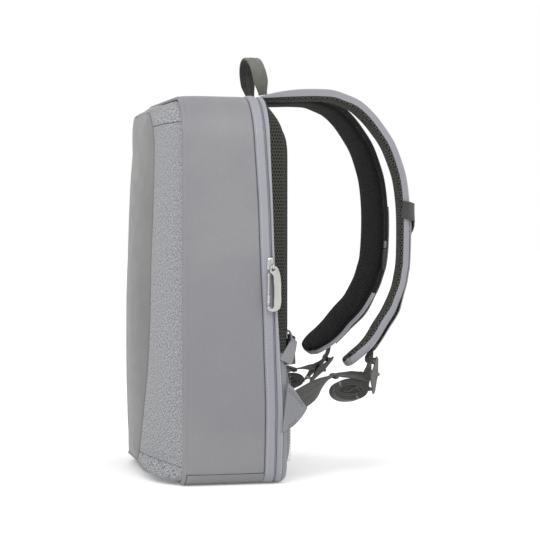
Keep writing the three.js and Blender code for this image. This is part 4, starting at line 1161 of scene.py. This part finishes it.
def build_luggage_band():
    rows = [(1, 0.51), (0.88, 0.74), (0.67, 0.93), (0.35, 1), (0, 1)]
    rows += [(-a, out) for a, out in rows[-2::-1]]
    path = [(a * LUGGAGE_HALF, BACK_PLANE + out * LUGGAGE_REACH, LUGGAGE_Z) for a, out in rows]
    band = ribbon_rows(spline(path, 3.0), (0, 0, 1), LUGGAGE_WIDTH, LUGGAGE_THICK, bow=0.6)
    loft("luggage_band_elastic", band, look.elastic, "elastic", stands_for=["luggage_band"])
    for word, side in (("right", 1), ("left", -1)):
        build_luggage_end(word, side)


def build_luggage_end(word, side):
    """End of the trolley band: dark elastic, held by a slanted cloth strip with a small loop."""
    wall = back_y(LUGGAGE_Z)
    join = BACK_PLANE + 0.51 * LUGGAGE_REACH
    path = [(HALF - 2.2, wall + 4, -8), (HALF - 8, lerp(wall, join, 0.6), -6)]
    path = np.array(path + [(LUGGAGE_HALF + 0.8, join, -4)]) * (side, 1, 1) + (0, 0, LUGGAGE_Z)
    across = [(0, 0.1, 1)] * 3
    path, across, width = spline(path, 1.0, across, [[15.0], [20.0], [24.0]])
    end = ribbon_rows(path, across, width, LUGGAGE_THICK)
    loft("luggage_end_elastic_" + word, end, look.elastic, "elastic")
    path = [(HALF - 0.6, wall + 6.5, -12), (HALF - 1.6, wall + 9, -7), (HALF - 6, wall + 14.5, 2.5)]
    path = np.array(path + [(LUGGAGE_HALF + 2.2, wall + 20, 12.5)]) * (side, 1, 1) + (0, 0, LUGGAGE_Z)
    across = [(0, -0.72, 0.7)] * 3 + [(0, -0.5, 0.86)]
    path, across, width = spline(path, 1.0, across, [[16.0], [15.0], [12.5], [9.0]])
    strip = ribbon_rows(path, across, width, LUGGAGE_END_THICK)
    loft("luggage_end_cloth_" + word, strip, look.back, "back_cloth", stands_for=["luggage_end_" + word])
    fold = [(0, -2.4), (7, -1.9), (9.4, 0), (7, 2), (-2, 3.4)]
    path = spline([(side * (HALF - 11), wall + 12 + y, LUGGAGE_Z + 15 + z) for z, y in fold], 0.8)
    rows = ribbon_rows(path, (1, 0, 0), SIDE_LOOP_WIDTH, SIDE_LOOP_THICK)
    loft("side_loop_cloth_" + word, rows, look.back, "back_cloth")


build_back_wall()
build_back_pad()
build_lower_pad()
build_luggage_band()

# Shoulder strap's middle line: share of the reach, of the drop, of the splay, of the full
# thickness and of the full width.
STRAP_LINE = [
    [0, 0, 0, 0, 0.9], [0.057, -0.003, 0, 0.4, 0.95], [0.164, -0.009, 0, 0.8, 1],
    [0.289, -0.014, 0.01, 1, 1], [0.385, -0.016, 0.02, 1, 1], [0.487, -0.014, 0.04, 1, 1],
    [0.564, -0.002, 0.07, 1, 1], [0.663, 0.022, 0.12, 1, 1], [0.75, 0.064, 0.16, 1, 1],
    [0.823, 0.115, 0.2, 1, 1], [0.893, 0.176, 0.24, 1, 1], [0.946, 0.252, 0.27, 1, 1],
    [0.978, 0.319, 0.29, 1, 1], [0.997, 0.415, 0.3, 1, 1], [1, 0.518, 0.31, 1, 1],
    [0.992, 0.62, 0.35, 1, 1], [0.972, 0.68, 0.42, 1, 1], [0.94, 0.738, 0.5, 1, 1],
    [0.872, 0.811, 0.6, 1, 1], [0.793, 0.869, 0.76, 1, 1], [0.728, 0.917, 0.87, 1, 1],
    [0.671, 0.95, 0.94, 1, 0.98], [0.612, 0.976, 0.98, 1, 0.9], [0.57, 0.994, 1, 0.94, 0.74],
    [0.552, 1, 1, 0.86, 0.56],
]
LAST_ROW = len(STRAP_LINE) - 1
FINE_ROWS = np.linspace(0, LAST_ROW, LAST_ROW * 8 + 1)


def turned(vectors, axes, angles):
    """Vectors turned about axes."""
    cos, sin = np.cos(angles)[:, None], np.sin(angles)[:, None]
    dot = (vectors * axes).sum(1, keepdims=True)
    return vectors * cos + np.cross(axes, vectors) * sin + axes * dot * (1 - cos)


def strap_frames(side, rows):
    """Middle line of a strap at given rows of its table, with its directions and sizes."""
    table = np.array(STRAP_LINE, float)
    index = np.arange(len(table))
    root_z = HEIGHT - 0.8 + CLEARANCE + STRAP_ROOT_THICK / 2

    def middle(places):
        reach, drop, splay = curve(index, table[:, :3], places).T
        x = side * (STRAP_ROOT_X + splay * STRAP_SPLAY)
        return columns(x, STRAP_ROOT_Y + reach * STRAP_REACH, root_z - drop * STRAP_DROP)

    rows = np.asarray(rows, float)
    at = middle(rows)
    along = unit(middle(np.minimum(rows + 0.1, LAST_ROW)) - middle(np.maximum(rows - 0.1, 0)))
    across = unit((1, 0, 0) - along[:, :1] * along)
    across = turned(across, along, side * math.radians(STRAP_ROLL) * smooth(rows / 16))
    out = np.cross(across, along)
    fill, spread_share = curve(index, table[:, 3:], rows, gentle=True).T
    thick = lerp(STRAP_ROOT_THICK, STRAP_THICK, fill)
    width = STRAP_WIDTH * spread_share
    return SimpleNamespace(at=at, along=along, across=across, out=out, width=width, thick=thick)


def strap_points(frames, across, out):
    """Points off the strap's middle line. Offsets are one value for each row."""
    across = np.broadcast_to(across, frames.width.shape)[:, None]
    out = np.broadcast_to(out, frames.width.shape)[:, None]
    return frames.at + frames.across * across + frames.out * out


def rounded_end(frames, reach, count=6):
    """Frames with a few more past the last, that shrink to round the end off."""
    angles = np.linspace(0, QUARTER * 0.93, count + 1)[1:]
    last = {name: np.repeat(values[-1:], count, axis=0) for name, values in vars(frames).items()}
    last["at"] = last["at"] + np.sin(angles)[:, None] * reach * last["along"]
    for name in ("width", "thick"):
        last[name] = last[name] * np.cos(angles)
    made = {name: np.concatenate([values, last[name]]) for name, values in vars(frames).items()}
    return SimpleNamespace(**made)


STRAP_SQUARENESS = 0.5
STRAP_NOSE = 5
STRAP_SEAM = 0.25


def strap_half(frames, face):
    """Rows of the cover's half of a strap, or of the mesh half. The seam lies nearer to the mesh."""
    angles = np.linspace(0, math.pi, 33)
    a, b = squared(np.cos(angles), STRAP_SQUARENESS), squared(np.sin(angles), STRAP_SQUARENESS)
    flat = np.linspace(-1, 1, 7)[1:-1]
    rows = []
    for i in range(len(frames.width)):
        half, thick = frames.width[i] / 2, frames.thick[i] / 2
        seam = -STRAP_SEAM * thick + face * min(CLEARANCE / 2, thick * 0.3)
        crown = 0.5 * (1 - a**2) * min(1, thick / 7)
        top = face * (thick - 0.5 + crown)
        across = np.concatenate([a, flat]) * half
        lift = np.concatenate([lerp(seam, top, b), np.full(5, seam)])
        rows.append(frames.at[i] + across[:, None] * frames.across[i] + lift[:, None] * frames.out[i])
    return np.array(rows)


DARK_ROWS = 136


def paint_shade_on_inner_wall(cover, frames, side):
    """Paints shade on the cover's edge that faces the other strap, with the darker copy of the mesh
    cloth.
    """
    cover.data.materials.append(look.painted_shade_mesh)
    at, across, width = frames.at * MM, frames.across, frames.width * MM
    for polygon in cover.data.polygons:
        centre = np.array(polygon.center)
        i = int(np.argmin(((at - centre) ** 2).sum(1)))
        if i < DARK_ROWS and (centre - at[i]) @ across[i] * side < -0.455 * width[i]:
            polygon.material_index = 1


def build_strap(word, side):
    frames = rounded_end(strap_frames(side, FINE_ROWS), STRAP_NOSE)
    # The far strap's mesh half takes the darker copy of the mesh cloth: painted shade.
    lining = look.strap_mesh if side > 0 else look.painted_shade_mesh
    halves = []
    for part, face, material, slot in (
        ("strap_cover_", 1, look.strap, "strap_cloth"),
        ("strap_mesh_", -1, lining, "spacer_mesh"),
    ):
        rows = strap_half(frames, face)
        halves.append(loft(part + "cloth_" + word, rows, material, slot, stands_for=[part + word]))
    paint_shade_on_inner_wall(halves[0], frames, side)


# Rows of the strap's table: where the overlay starts, opens over the webbing, and ends.
OVERLAY_FROM = 13
OVERLAY_OPEN = 17
OVERLAY_TO = 20.6


def build_strap_overlay(word, side):
    """Strip sewn on the strap's outer face, with the adjuster's webbing under its open end."""
    rows = np.linspace(OVERLAY_FROM, OVERLAY_TO, 60)
    frames = strap_frames(side, rows)
    rise = (WEB_THICK + 2) * smooth((rows - OVERLAY_OPEN) / 1.3)
    lift = frames.thick / 2 - 0.5 + rise
    path = strap_points(frames, 0, lift)
    width = lerp(STRAP_WIDTH - 9, WEB_WIDTH + 12, smooth((rows - OVERLAY_OPEN) / 3))
    strip = ribbon_rows(path, frames.across, width, COVER_THICK, bow=1.0)
    name = "strap_overlay_cloth_" + word
    loft(name, strip, look.overlay, "strap_cloth", stands_for=["strap_overlay_" + word])
    lines = []
    for edge in (-1, 1):
        sewn = strap_points(frames, edge * (width / 2 - 2.6), lift + COVER_THICK / 2)
        lines.append((sewn, frames.out))
    stitches("strap_overlay_stitches_" + word, lines, look.thread, "strap_cloth")


# Elastic loop: shares of the strap's half width and half thickness, and row of the strap's table.
LOOP_LINE = [
    [1.02, -0.5, 13.1], [1.05, 0.55, 13.15], [0.97, 1.15, 13.2],
    [0.5, 1.55, 13.35], [0, 1.65, 13.5], [-0.5, 1.55, 13.65],
    [-0.97, 1.15, 13.8], [-1.05, 0.55, 13.85], [-1.02, -0.5, 13.9],
]


def build_strap_loop():
    """Elastic loop that crosses the near strap on a slant."""
    table = np.array(LOOP_LINE)
    frames = strap_frames(1, table[:, 2])
    path = strap_points(frames, table[:, 0] * (STRAP_WIDTH / 2 + 1), table[:, 1] * STRAP_THICK / 2)
    path, across = spline(path, 1.2, frames.along)
    rows = ribbon_rows(path, across, LOOP_WIDTH, WEB_THICK)
    loft("strap_loop_elastic", rows, look.elastic, "elastic", stands_for=["strap_loop"])


def build_strap_zip():
    """Small zip on the inner edge of the far strap: slider and pull."""
    frames = strap_frames(-1, [STRAP_ZIP_ROW])
    at, along, across, out = (v[0] for v in (frames.at, frames.along, frames.across, frames.out))
    seat = at + across * (STRAP_WIDTH / 2 + CLEARANCE) - out * 1.6

    def path(from_run, to_run, away):
        runs = np.linspace(from_run, to_run, 16)[:, None]
        return seat + runs * along + away * across

    def width(full):
        return full * (1 - 0.55 * abs(np.linspace(-1, 1, 16)) ** 8)

    slider = ribbon_rows(path(-5, 4, 1.6), out, width(5), 3)
    loft("strap_zip_slider_metal", slider, look.gunmetal, "metal", stands_for=["strap_zip_slider"])
    pull = ribbon_rows(path(4.4, PULL_LENGTH, 2), out, width(6.5), 2.6)
    loft("strap_zip_pull_rubber", pull, look.rubber, "pull_rubber", stands_for=["strap_zip_pull"])


def paint_handle_inner_shade(handle, arch_z):
    """Paints shade on the handle's inner face, with the dark binding webbing."""
    handle.data.materials.append(look.binding)
    for polygon in handle.data.polygons:
        centre = np.array(polygon.center) / MM
        inward = np.array([-centre[0], 0, arch_z - centre[2]])
        if np.array(polygon.normal) @ unit(inward) > 0.35:
            polygon.material_index = 1


def build_top_handle():
    rows = [(1, 0), (1.05, 0.33), (0.98, 0.64), (0.7, 0.88), (0.25, 1)]
    rows += [(-a, rise) for a, rise in rows[::-1]]
    frames = strap_frames(1, FINE_ROWS)
    top = frames.at[:, 2] + frames.thick / 2
    foot = np.interp(HANDLE_Y, frames.at[:, 1], top) + CLEARANCE * 2
    a, rise = np.array(rows).T
    path = columns(a * HANDLE_SPAN / 2, HANDLE_Y - HANDLE_LEAN * rise, foot + rise * HANDLE_RISE)
    path = spline(path, 1.5)
    rise = (path[:, 2] - foot) / HANDLE_RISE
    width = HANDLE_WEB * lerp(0.6, 1, smooth(rise * 2.4))
    across = np.array([0, 1, 0])
    strip = ribbon_rows(path, across, width, HANDLE_THICK)
    handle = loft("top_handle_webbing", strip, look.handle, "handle_webbing", stands_for=["top_handle"])
    paint_handle_inner_shade(handle, foot + HANDLE_RISE * 0.35)
    out = unit(np.cross(tangents(path), across))
    lines = []
    for edge in (-0.06, 0.06):
        for face in (1, -1):
            sewn = path + across * edge * HANDLE_WEB + face * out * HANDLE_THICK * 0.48
            lines.append((sewn, out * face))
    stitches("top_handle_stitches", lines, look.handle, "handle_webbing")


for strap_word, strap_side in (("right", 1), ("left", -1)):
    build_strap(strap_word, strap_side)
    build_strap_overlay(strap_word, strap_side)
build_strap_loop()
build_strap_zip()
build_top_handle()

# Ladder-lock adjuster in its own frame. Rail profile: share of the length, front and rear offsets
# in shares of the length.
RAIL_PROFILE = [
    [0.49, 0.03, 0.05], [0.44, 0.012, 0.075], [0.32, -0.005, 0.088],
    [0.2, -0.03, 0.095], [0.04, -0.1, 0.105], [-0.15, -0.088, 0.075],
    [-0.31, -0.05, 0.055], [-0.44, -0.025, 0.035], [-0.49, -0.01, 0.015],
]
BAR_PLACES = (0.36, -0.02, -0.38)
GRIP_BAR = (0.03, 4.2, 0.2)

# Place and lean of each adjuster, and of what its webbing runs to, from the end of its strap.
NEAR = SimpleNamespace(
    word="right",
    side=1,
    adjuster=(0, 28.6, -16.8),
    lean=3,
    roll=(-2, 2.3, -36.2),
    size=1,
    keeper=(0, -16.4, -18.2),
)
FAR = SimpleNamespace(
    word="left",
    side=-1,
    adjuster=(0, 13.6, -25.8),
    lean=42,
    roll=(5, -23.4, -43.5),
    size=0.76,
    keeper=(0, -20.4, -27.2),
)


def from_strap_end(offset, side):
    end = strap_frames(side, [LAST_ROW]).at[0]
    return end + np.array(offset) * (side, 1, 1)


def leaning(middle, lean):
    """Points of an adjuster's frame: along its length, and away from the body."""
    sin, cos = math.sin(math.radians(lean)), math.cos(math.radians(lean))
    return lambda along, away: middle + np.array([0, along * sin + away * cos, along * cos - away * sin])


def rail_rows(x_low, x_high, place):
    """Rounded side rail of an adjuster, as sections across its thickness."""
    table = np.array(RAIL_PROFILE)
    ring = np.vstack([table[:, [0, 1]], table[::-1][:, [0, 2]]]) * ADJUSTER_LENGTH
    ring = ring_spline(ring, 1.4)
    middle = ring.mean(axis=0)
    rows = []
    for turn in np.linspace(-QUARTER, QUARTER, 9):
        edge = 0.9 * (1 - math.cos(turn))
        shrink = 1 - edge / np.linalg.norm(ring - middle, axis=1, keepdims=True).clip(3)
        x = lerp(x_low, x_high, 0.5 + 0.5 * math.sin(turn))
        shape = middle + (ring - middle) * shrink
        rows.append([place(z, y) + (x, 0, 0) for z, y in shape])
    return np.array(rows)


def build_adjuster(place, finish, word):
    parts = []
    half = ADJUSTER_WIDTH / 2
    for side in (-1, 1):
        low, high = sorted((side * half, side * (half - ADJUSTER_RAIL)))
        parts.append(skin(rail_rows(low, high, place)))
    for share, away, over in [(at, 0, -1.5) for at in BAR_PLACES] + [GRIP_BAR]:
        ends = np.linspace(-half - over, half + over, 12)
        path = np.array([place(share * ADJUSTER_LENGTH, away) + (e, 0, 0) for e in ends])
        radius = ADJUSTER_BAR * (1 + 0.12 * (np.abs(ends) / half) ** 6)
        parts.append(skin(tube_rows(path, radius, sides=16)))
    points, faces, uv = joined(parts)
    name = "adjuster_moulding_" + word
    new_object(name, points, faces, finish, "adjuster", uv, stands_for=["adjuster_" + word])


def web_strip(name, path, across, stands_for):
    path, across = spline(path, 0.9, across)
    rows = ribbon_rows(path, across, WEB_WIDTH, WEB_THICK)
    loft(name, rows, look.webbing, "webbing", stands_for=[stands_for])


def build_webs(plan):
    """Adjuster, the webbing from the strap into it, and the webbing from it to the tab."""
    word, side = plan.word, plan.side
    place = leaning(from_strap_end(plan.adjuster, side), plan.lean)
    # The far adjuster takes the darker copy of its plastic: painted shade.
    build_adjuster(place, look.adjuster if side > 0 else look.plastic, word)
    top, middle = (share * ADJUSTER_LENGTH for share in BAR_PLACES[:2])
    turn = ADJUSTER_BAR + CLEARANCE * 2 + WEB_THICK / 2
    angles = np.radians(np.arange(0, 181, 30))
    hook = [place(top + 3, -turn)]
    hook += [place(top - turn * math.sin(a), -turn * math.cos(a)) for a in angles]
    hook += [place(top + 3, turn)]
    frames = strap_frames(side, [18.4, 19.2, 20, 20.8])
    start = strap_points(frames, 0, frames.thick / 2 + CLEARANCE + WEB_THICK / 2)
    across = np.vstack([frames.across, np.tile((1.0, side * 0.1, 0.0), (len(hook), 1))])
    path = np.vstack([start, hook])
    web_strip("adjuster_webbing_" + word, path, across, "adjuster_web_" + word)
    tab_tip = np.array([side * (HALF - 11.5), back_y(TAB_Z) + 21, TAB_Z + 3.2])
    lower = [place(middle - 3, turn)]
    lower += [place(middle + turn * math.sin(a), turn * math.cos(a)) for a in angles[:-1]]
    lower += [place(middle, -turn - 0.6)]
    join = from_strap_end(plan.keeper, side)
    onward = [
        lerp(join, lower[-1], 0.55) + (0, 0, 0.6),
        join,
        lerp(join, tab_tip, 0.3),
        lerp(join, tab_tip, 0.6) - (0, 0, 0.4),
        lerp(join, tab_tip, 1),
    ]
    flat, on_edge = np.array([1.0, 0, 0]), np.array([side * 0.25, -0.68, 0.69])
    tilted = np.array([0.9, 0, side * -0.4])
    across = [flat] * (len(lower) - 2) + [lerp(flat, tilted, 0.7), tilted, lerp(flat, tilted, 0.6), flat]
    across += [lerp(flat, on_edge * side, share) for share in (0.4, 0.75, 1)]
    web_strip("lower_webbing_" + word, lower + onward, across, "lower_web_" + word)
    build_keeper(word, join, unit(onward[2] - onward[0]))
    build_roll(plan)
    build_tab(word, side)


def build_keeper(word, at, along):
    """Small elastic ring that holds the two layers of webbing together."""
    section = flat_section(WEB_WIDTH + 2.6, WEB_THICK + 2.6)
    out = unit(np.cross((1.0, 0.0, 0.0), along))
    ring = [at + a * np.array([1.0, 0, 0]) + b * out for a, b in section]
    rows = ribbon_rows(ring_spline(ring, 1.0), along, KEEPER_WIDTH, KEEPER_THICK)
    loft("web_keeper_" + word, rows, look.elastic, "elastic", closed=True)


ROLL_TURNS = 4.2
ROLL_PITCH = 2.1
ROLL_TILT = (1.0, 0.0, 0.2)
ROLL_CORE = [(-9.5, 0.6), (-7, -1.8), (-3, -2), (0, 0), (3, 2), (7, 1.8), (10, -0.8)]


def build_roll(plan):
    """Spare webbing wound up flat, seen end on as a spiral with an S-shaped core."""
    centre = from_strap_end(plan.roll, plan.side)
    angles = np.linspace(0, ROLL_TURNS * 4 * QUARTER, int(ROLL_TURNS * 40))
    inward = WEB_THICK / 2 + angles / (4 * QUARTER) * ROLL_PITCH * plan.size
    long_half = ROLL_LENGTH / 2 * plan.size - inward
    short_half = np.maximum(ROLL_HEIGHT / 2 * plan.size - inward, 1.2)
    path = columns(0, squared(np.cos(angles), 0.85) * long_half, np.sin(angles) * short_half)
    core = np.array([(0, y, z) for y, z in ROLL_CORE]) * plan.size
    for name, line in (("web_roll_webbing_", path), ("web_roll_core_", core)):
        line = centre + spline(line, 1.0)
        rows = ribbon_rows(line, ROLL_TILT, WEB_WIDTH, WEB_THICK)
        parts = ["web_roll_" + plan.word] if name == "web_roll_webbing_" else ()
        loft(name + plan.word, rows, look.webbing, "webbing", stands_for=parts)
    # Dark ring in the roll's hollow middle: painted shade.
    angles = round_angles(24)
    ring = columns(0, np.cos(angles) * (long_half[-1] + 1), np.sin(angles) * (short_half[-1] + 1))
    depths = np.linspace(-0.38, 0.38, 3) * WEB_WIDTH
    rows = [centre + ring + depth * np.array(ROLL_TILT) for depth in depths]
    loft("web_roll_shade_" + plan.word, rows, look.dark_thread_and_roll_shade, "webbing")


def build_tab(word, side):
    """Pointed cloth tab sewn into the side seam, with two pairs of stitch lines that cross."""
    wall = back_y(TAB_Z)
    table = [
        [HALF + 1.3, wall + 2.1, -4, 58],
        [HALF - 1.6, wall + 13.6, -5.5, 41],
        [HALF - 5, wall + 22.5, -6, 21],
        [HALF - 9.5, wall + TAB_REACH, -5.6, 2.5],
    ]
    path = [(side * x, y, TAB_Z + drop) for x, y, drop, _ in table]
    path, width = spline(path, 1.0, [[row[-1]] for row in table])
    up = np.array([0, 0, 1])
    rows = ribbon_rows(path, up, width, TAB_THICK)
    loft("side_tab_cloth_" + word, rows, look.back, "shell_cloth", stands_for=["side_tab_" + word])
    out = unit(np.cross(up, tangents(path)))
    out = np.where(out[:, :1] * side > 0, out, -out)
    run = run_length(path)
    lines = []
    for inset in TAB_STITCHES:
        for edge, last in ((1, 24), (-1, 15)):
            near = np.arange(3, len(path) - 4)
            near = near[run[near] < last]
            lift = edge * np.maximum(width[near] / 2 - inset, 1)
            lines.append((path[near] + up * lift + out[near] * TAB_THICK * 0.48, out[near]))
    stitches("side_tab_stitches_" + word, lines, look.dark_thread_and_roll_shade, "shell_cloth")


build_webs(NEAR)
build_webs(FAR)

# Snap hook outline: across as a share of HOOK_WIDTH from the eye, down as a share of HOOK_LENGTH
# from the top.
HOOK_OUTLINE = [
    [-0.24, 0.03], [0.0, 0.0], [0.3, 0.035], [0.54, 0.17], [0.63, 0.34],
    [0.65, 0.6], [0.64, 0.82], [0.52, 0.94], [0.22, 0.99], [-0.14, 1],
    [-0.4, 0.97], [-0.49, 0.9], [-0.31, 0.885], [-0.22, 0.925], [-0.08, 0.94],
    [0.03, 0.89], [0.06, 0.76], [0.045, 0.34], [-0.02, 0.21], [-0.26, 0.14],
]


def hook_plate(loops, x):
    """Flat plate in the YZ plane with bevelled edges, from closed (y, z) loops, its edge and its eye."""
    name = "lock_hook_metal"
    shape = bpy.data.curves.new(name, "CURVE")
    shape.dimensions = "2D"
    shape.fill_mode = "BOTH"
    shape.extrude = (HOOK_THICK / 2 - HOOK_BEVEL) * MM
    shape.bevel_depth = HOOK_BEVEL * MM
    shape.bevel_resolution = 3
    shape.offset = -HOOK_BEVEL * MM
    for loop in loops:
        line = shape.splines.new("POLY")
        line.points.add(len(loop) - 1)
        line.use_cyclic_u = True
        for point, (y, z) in zip(line.points, loop):
            point.co = (y * MM, z * MM, 0, 1)
    holder = placed(name, shape)
    bpy.context.view_layer.update()
    mesh = mesh_of(holder)
    bpy.data.objects.remove(holder)
    points = np.array([(x * MM + v.co.z, v.co.x, v.co.y) for v in mesh.vertices]) / MM
    faces = [list(p.vertices) for p in mesh.polygons]
    new_object(name, points, faces, look.metal, "metal", body="lock", stands_for=["lock_hook"], sharp=50)


def build_slider(face, y, foot):
    """Zip slider: a rounded body with a flared nose."""
    rows = []
    for share in np.linspace(0, 1, 15):
        round_off = 1 - 0.28 * abs(2 * share - 1) ** 5
        nose = 1 - 0.18 * share
        angles = np.linspace(0, math.pi, 15)
        a = np.append(squared(np.cos(angles), 0.6) * SLIDER_WIDTH / 2 * round_off * nose, 0)
        b = np.append(squared(np.sin(angles), 0.6) * SLIDER_PROUD * round_off, 0)
        rows.append(columns(face + b, y + a, foot + share * SLIDER_LENGTH))
    loft("zip_slider_metal", rows, look.metal, "metal", stands_for=["zip_slider"])


def build_bail(pivot, foot):
    """Wire bent round the eye's rim, its two feet on the slider."""
    angles = np.radians(np.linspace(100, -130, 40))
    arc = [pivot + BAIL_RADIUS * np.array([math.cos(a), 0, math.sin(a)]) for a in angles]
    ends = [np.array([foot, pivot[1], pivot[2] + h]) for h in (BAIL_RADIUS, -BAIL_RADIUS * 0.62)]
    path = spline([ends[0], *arc, ends[1]], 0.35)
    rows = tube_rows(path, BAIL_WIRE, sides=12, up=(0, 1, 0))
    loft("zip_bail_wire", rows, look.metal, "metal", stands_for=["zip_bail"])


def build_hook(pivot):
    rim = HOOK_THICK * 0.45
    top = pivot[2] + rim
    outline = np.array(HOOK_OUTLINE) * (HOOK_WIDTH, -HOOK_LENGTH) + (pivot[1], top)
    outline = ring_spline(outline, 0.6)
    angles = round_angles(28)
    eye_z = top - 2 * rim - HOOK_EYE
    eye = columns(pivot[1] + HOOK_EYE * np.cos(angles), eye_z + HOOK_EYE * np.sin(angles))
    hook_plate([outline, eye], pivot[0])
    build_gate(pivot, top)


def build_gate(pivot, top):
    """Spring gate: a thin rod with a sleeve near its tip."""
    hinge = np.array([pivot[0], pivot[1] - 0.36 * HOOK_WIDTH, top - 0.175 * HOOK_LENGTH])
    tip = np.array([pivot[0], pivot[1] - 0.4 * HOOK_WIDTH, top - 0.87 * HOOK_LENGTH])
    along = unit(tip - hinge)
    length = np.linalg.norm(tip - hinge)
    runs = np.linspace(0, length, 40)
    radius = GATE_ROD * np.sqrt(np.clip(1 - (abs(2 * runs / length - 1)) ** 30, 0.05, 1))
    near_sleeve = smooth((SLEEVE_LENGTH / 2 - abs(runs - length * 0.8)) / 0.8)
    radius = radius + near_sleeve * SLEEVE_WALL
    path = hinge + runs[:, None] * along
    rows = tube_rows(path, radius, sides=14, up=(0, 1, 0))
    loft("lock_gate_metal", rows, look.metal, "metal", body="gate", stands_for=["lock_gate"])


def build_lock():
    foot = SLIDER_TOP - SLIDER_LENGTH
    face = HALF + 0.6 * FLAP_SWELL + CLEARANCE
    build_slider(face, SLIDER_Y, foot)
    pivot = np.array([face + SLIDER_PROUD + BAIL_RADIUS - 0.2, SLIDER_Y + 2.4, foot + 3.4])
    build_bail(pivot, face + SLIDER_PROUD + CLEARANCE)
    build_hook(pivot)


build_lock()

# Camera, floor and lights, in metres
CAMERA_AZIMUTH = 78
CAMERA_ELEVATION = 1.8
CAMERA_DISTANCE = 2.3
CAMERA_TARGET = Vector((0, 0.07685, 0.24397))
CAMERA_LENS = 124.1


def aimed(name, data, place, target):
    """A camera or light at a place, turned to its target."""
    made = placed(name, data)
    made.location = place
    made.rotation_mode = "QUATERNION"
    made.rotation_quaternion = (Vector(target) - Vector(place)).to_track_quat("-Z", "Y")
    return made


def add_camera():
    azimuth, elevation = math.radians(CAMERA_AZIMUTH), math.radians(CAMERA_ELEVATION)
    level = math.cos(elevation)
    back = Vector((math.sin(azimuth) * level, -math.cos(azimuth) * level, math.sin(elevation)))
    data = bpy.data.cameras.new("camera")
    data.sensor_width = 36
    data.lens = CAMERA_LENS
    data.clip_start, data.clip_end = 0.05, 60
    place = CAMERA_TARGET + back * CAMERA_DISTANCE
    bpy.context.scene.camera = aimed("camera", data, place, CAMERA_TARGET)


def add_light(name, place, target, size, power, colour):
    data = bpy.data.lights.new(name, "AREA")
    data.shape = "DISK"
    data.size = size
    data.energy = power
    data.color = colour
    aimed(name, data, place, target)


def add_floor():
    """Plain pale floor: a wide disc in rings, a hair under the base."""
    radii = (0.001, 0.5, 1.5, 4, 12)
    count = 64
    angles = round_angles(count)
    points, faces = [], []
    for radius in radii:
        points += columns(radius * np.cos(angles), radius * np.sin(angles), -0.0004).tolist()
    for low in range(0, (len(radii) - 1) * count, count):
        high = low + count
        for i in range(count):
            j = (i + 1) % count
            faces.append((low + i, high + i, high + j, low + j))
    faces.append(list(range(count)))
    mesh = bpy.data.meshes.new("floor")
    mesh.from_pydata(points, [], faces)
    floor = placed("floor", mesh)
    f = Finish("pale_floor", Roughness=1.0, Specular_IOR_Level=0.0, Emission_Strength=0.12)
    f.shader.inputs["Emission Color"].default_value = (1, 1, 1, 1)
    tone = f.vary(f.noise(1.5), 0.995, 1.0)
    mesh.materials.append(f.done(f.scaled(linear("ffffff"), tone)))


def add_world():
    world = bpy.data.worlds.new("studio")
    bpy.context.scene.world = world
    world.use_nodes = True
    background = world.node_tree.nodes["Background"]
    background.inputs["Color"].default_value = (1, 1, 1, 1)
    background.inputs["Strength"].default_value = 1.0


add_camera()
add_floor()
add_world()
add_light("key", (1.6, -0.9, 1.5), (0, 0, 0.25), 1.2, 9, (1.0, 0.99, 0.97))
add_light("rear", (0.9, 1.4, 1.2), (0, 0.1, 0.25), 0.9, 5, (0.98, 0.99, 1.0))
add_light("crown", (0.62, 0.0, 0.72), (0.12, 0.0, 0.42), 0.3, 1.0, (1.0, 0.99, 0.97))
bpy.context.scene.view_settings.view_transform = "Standard"
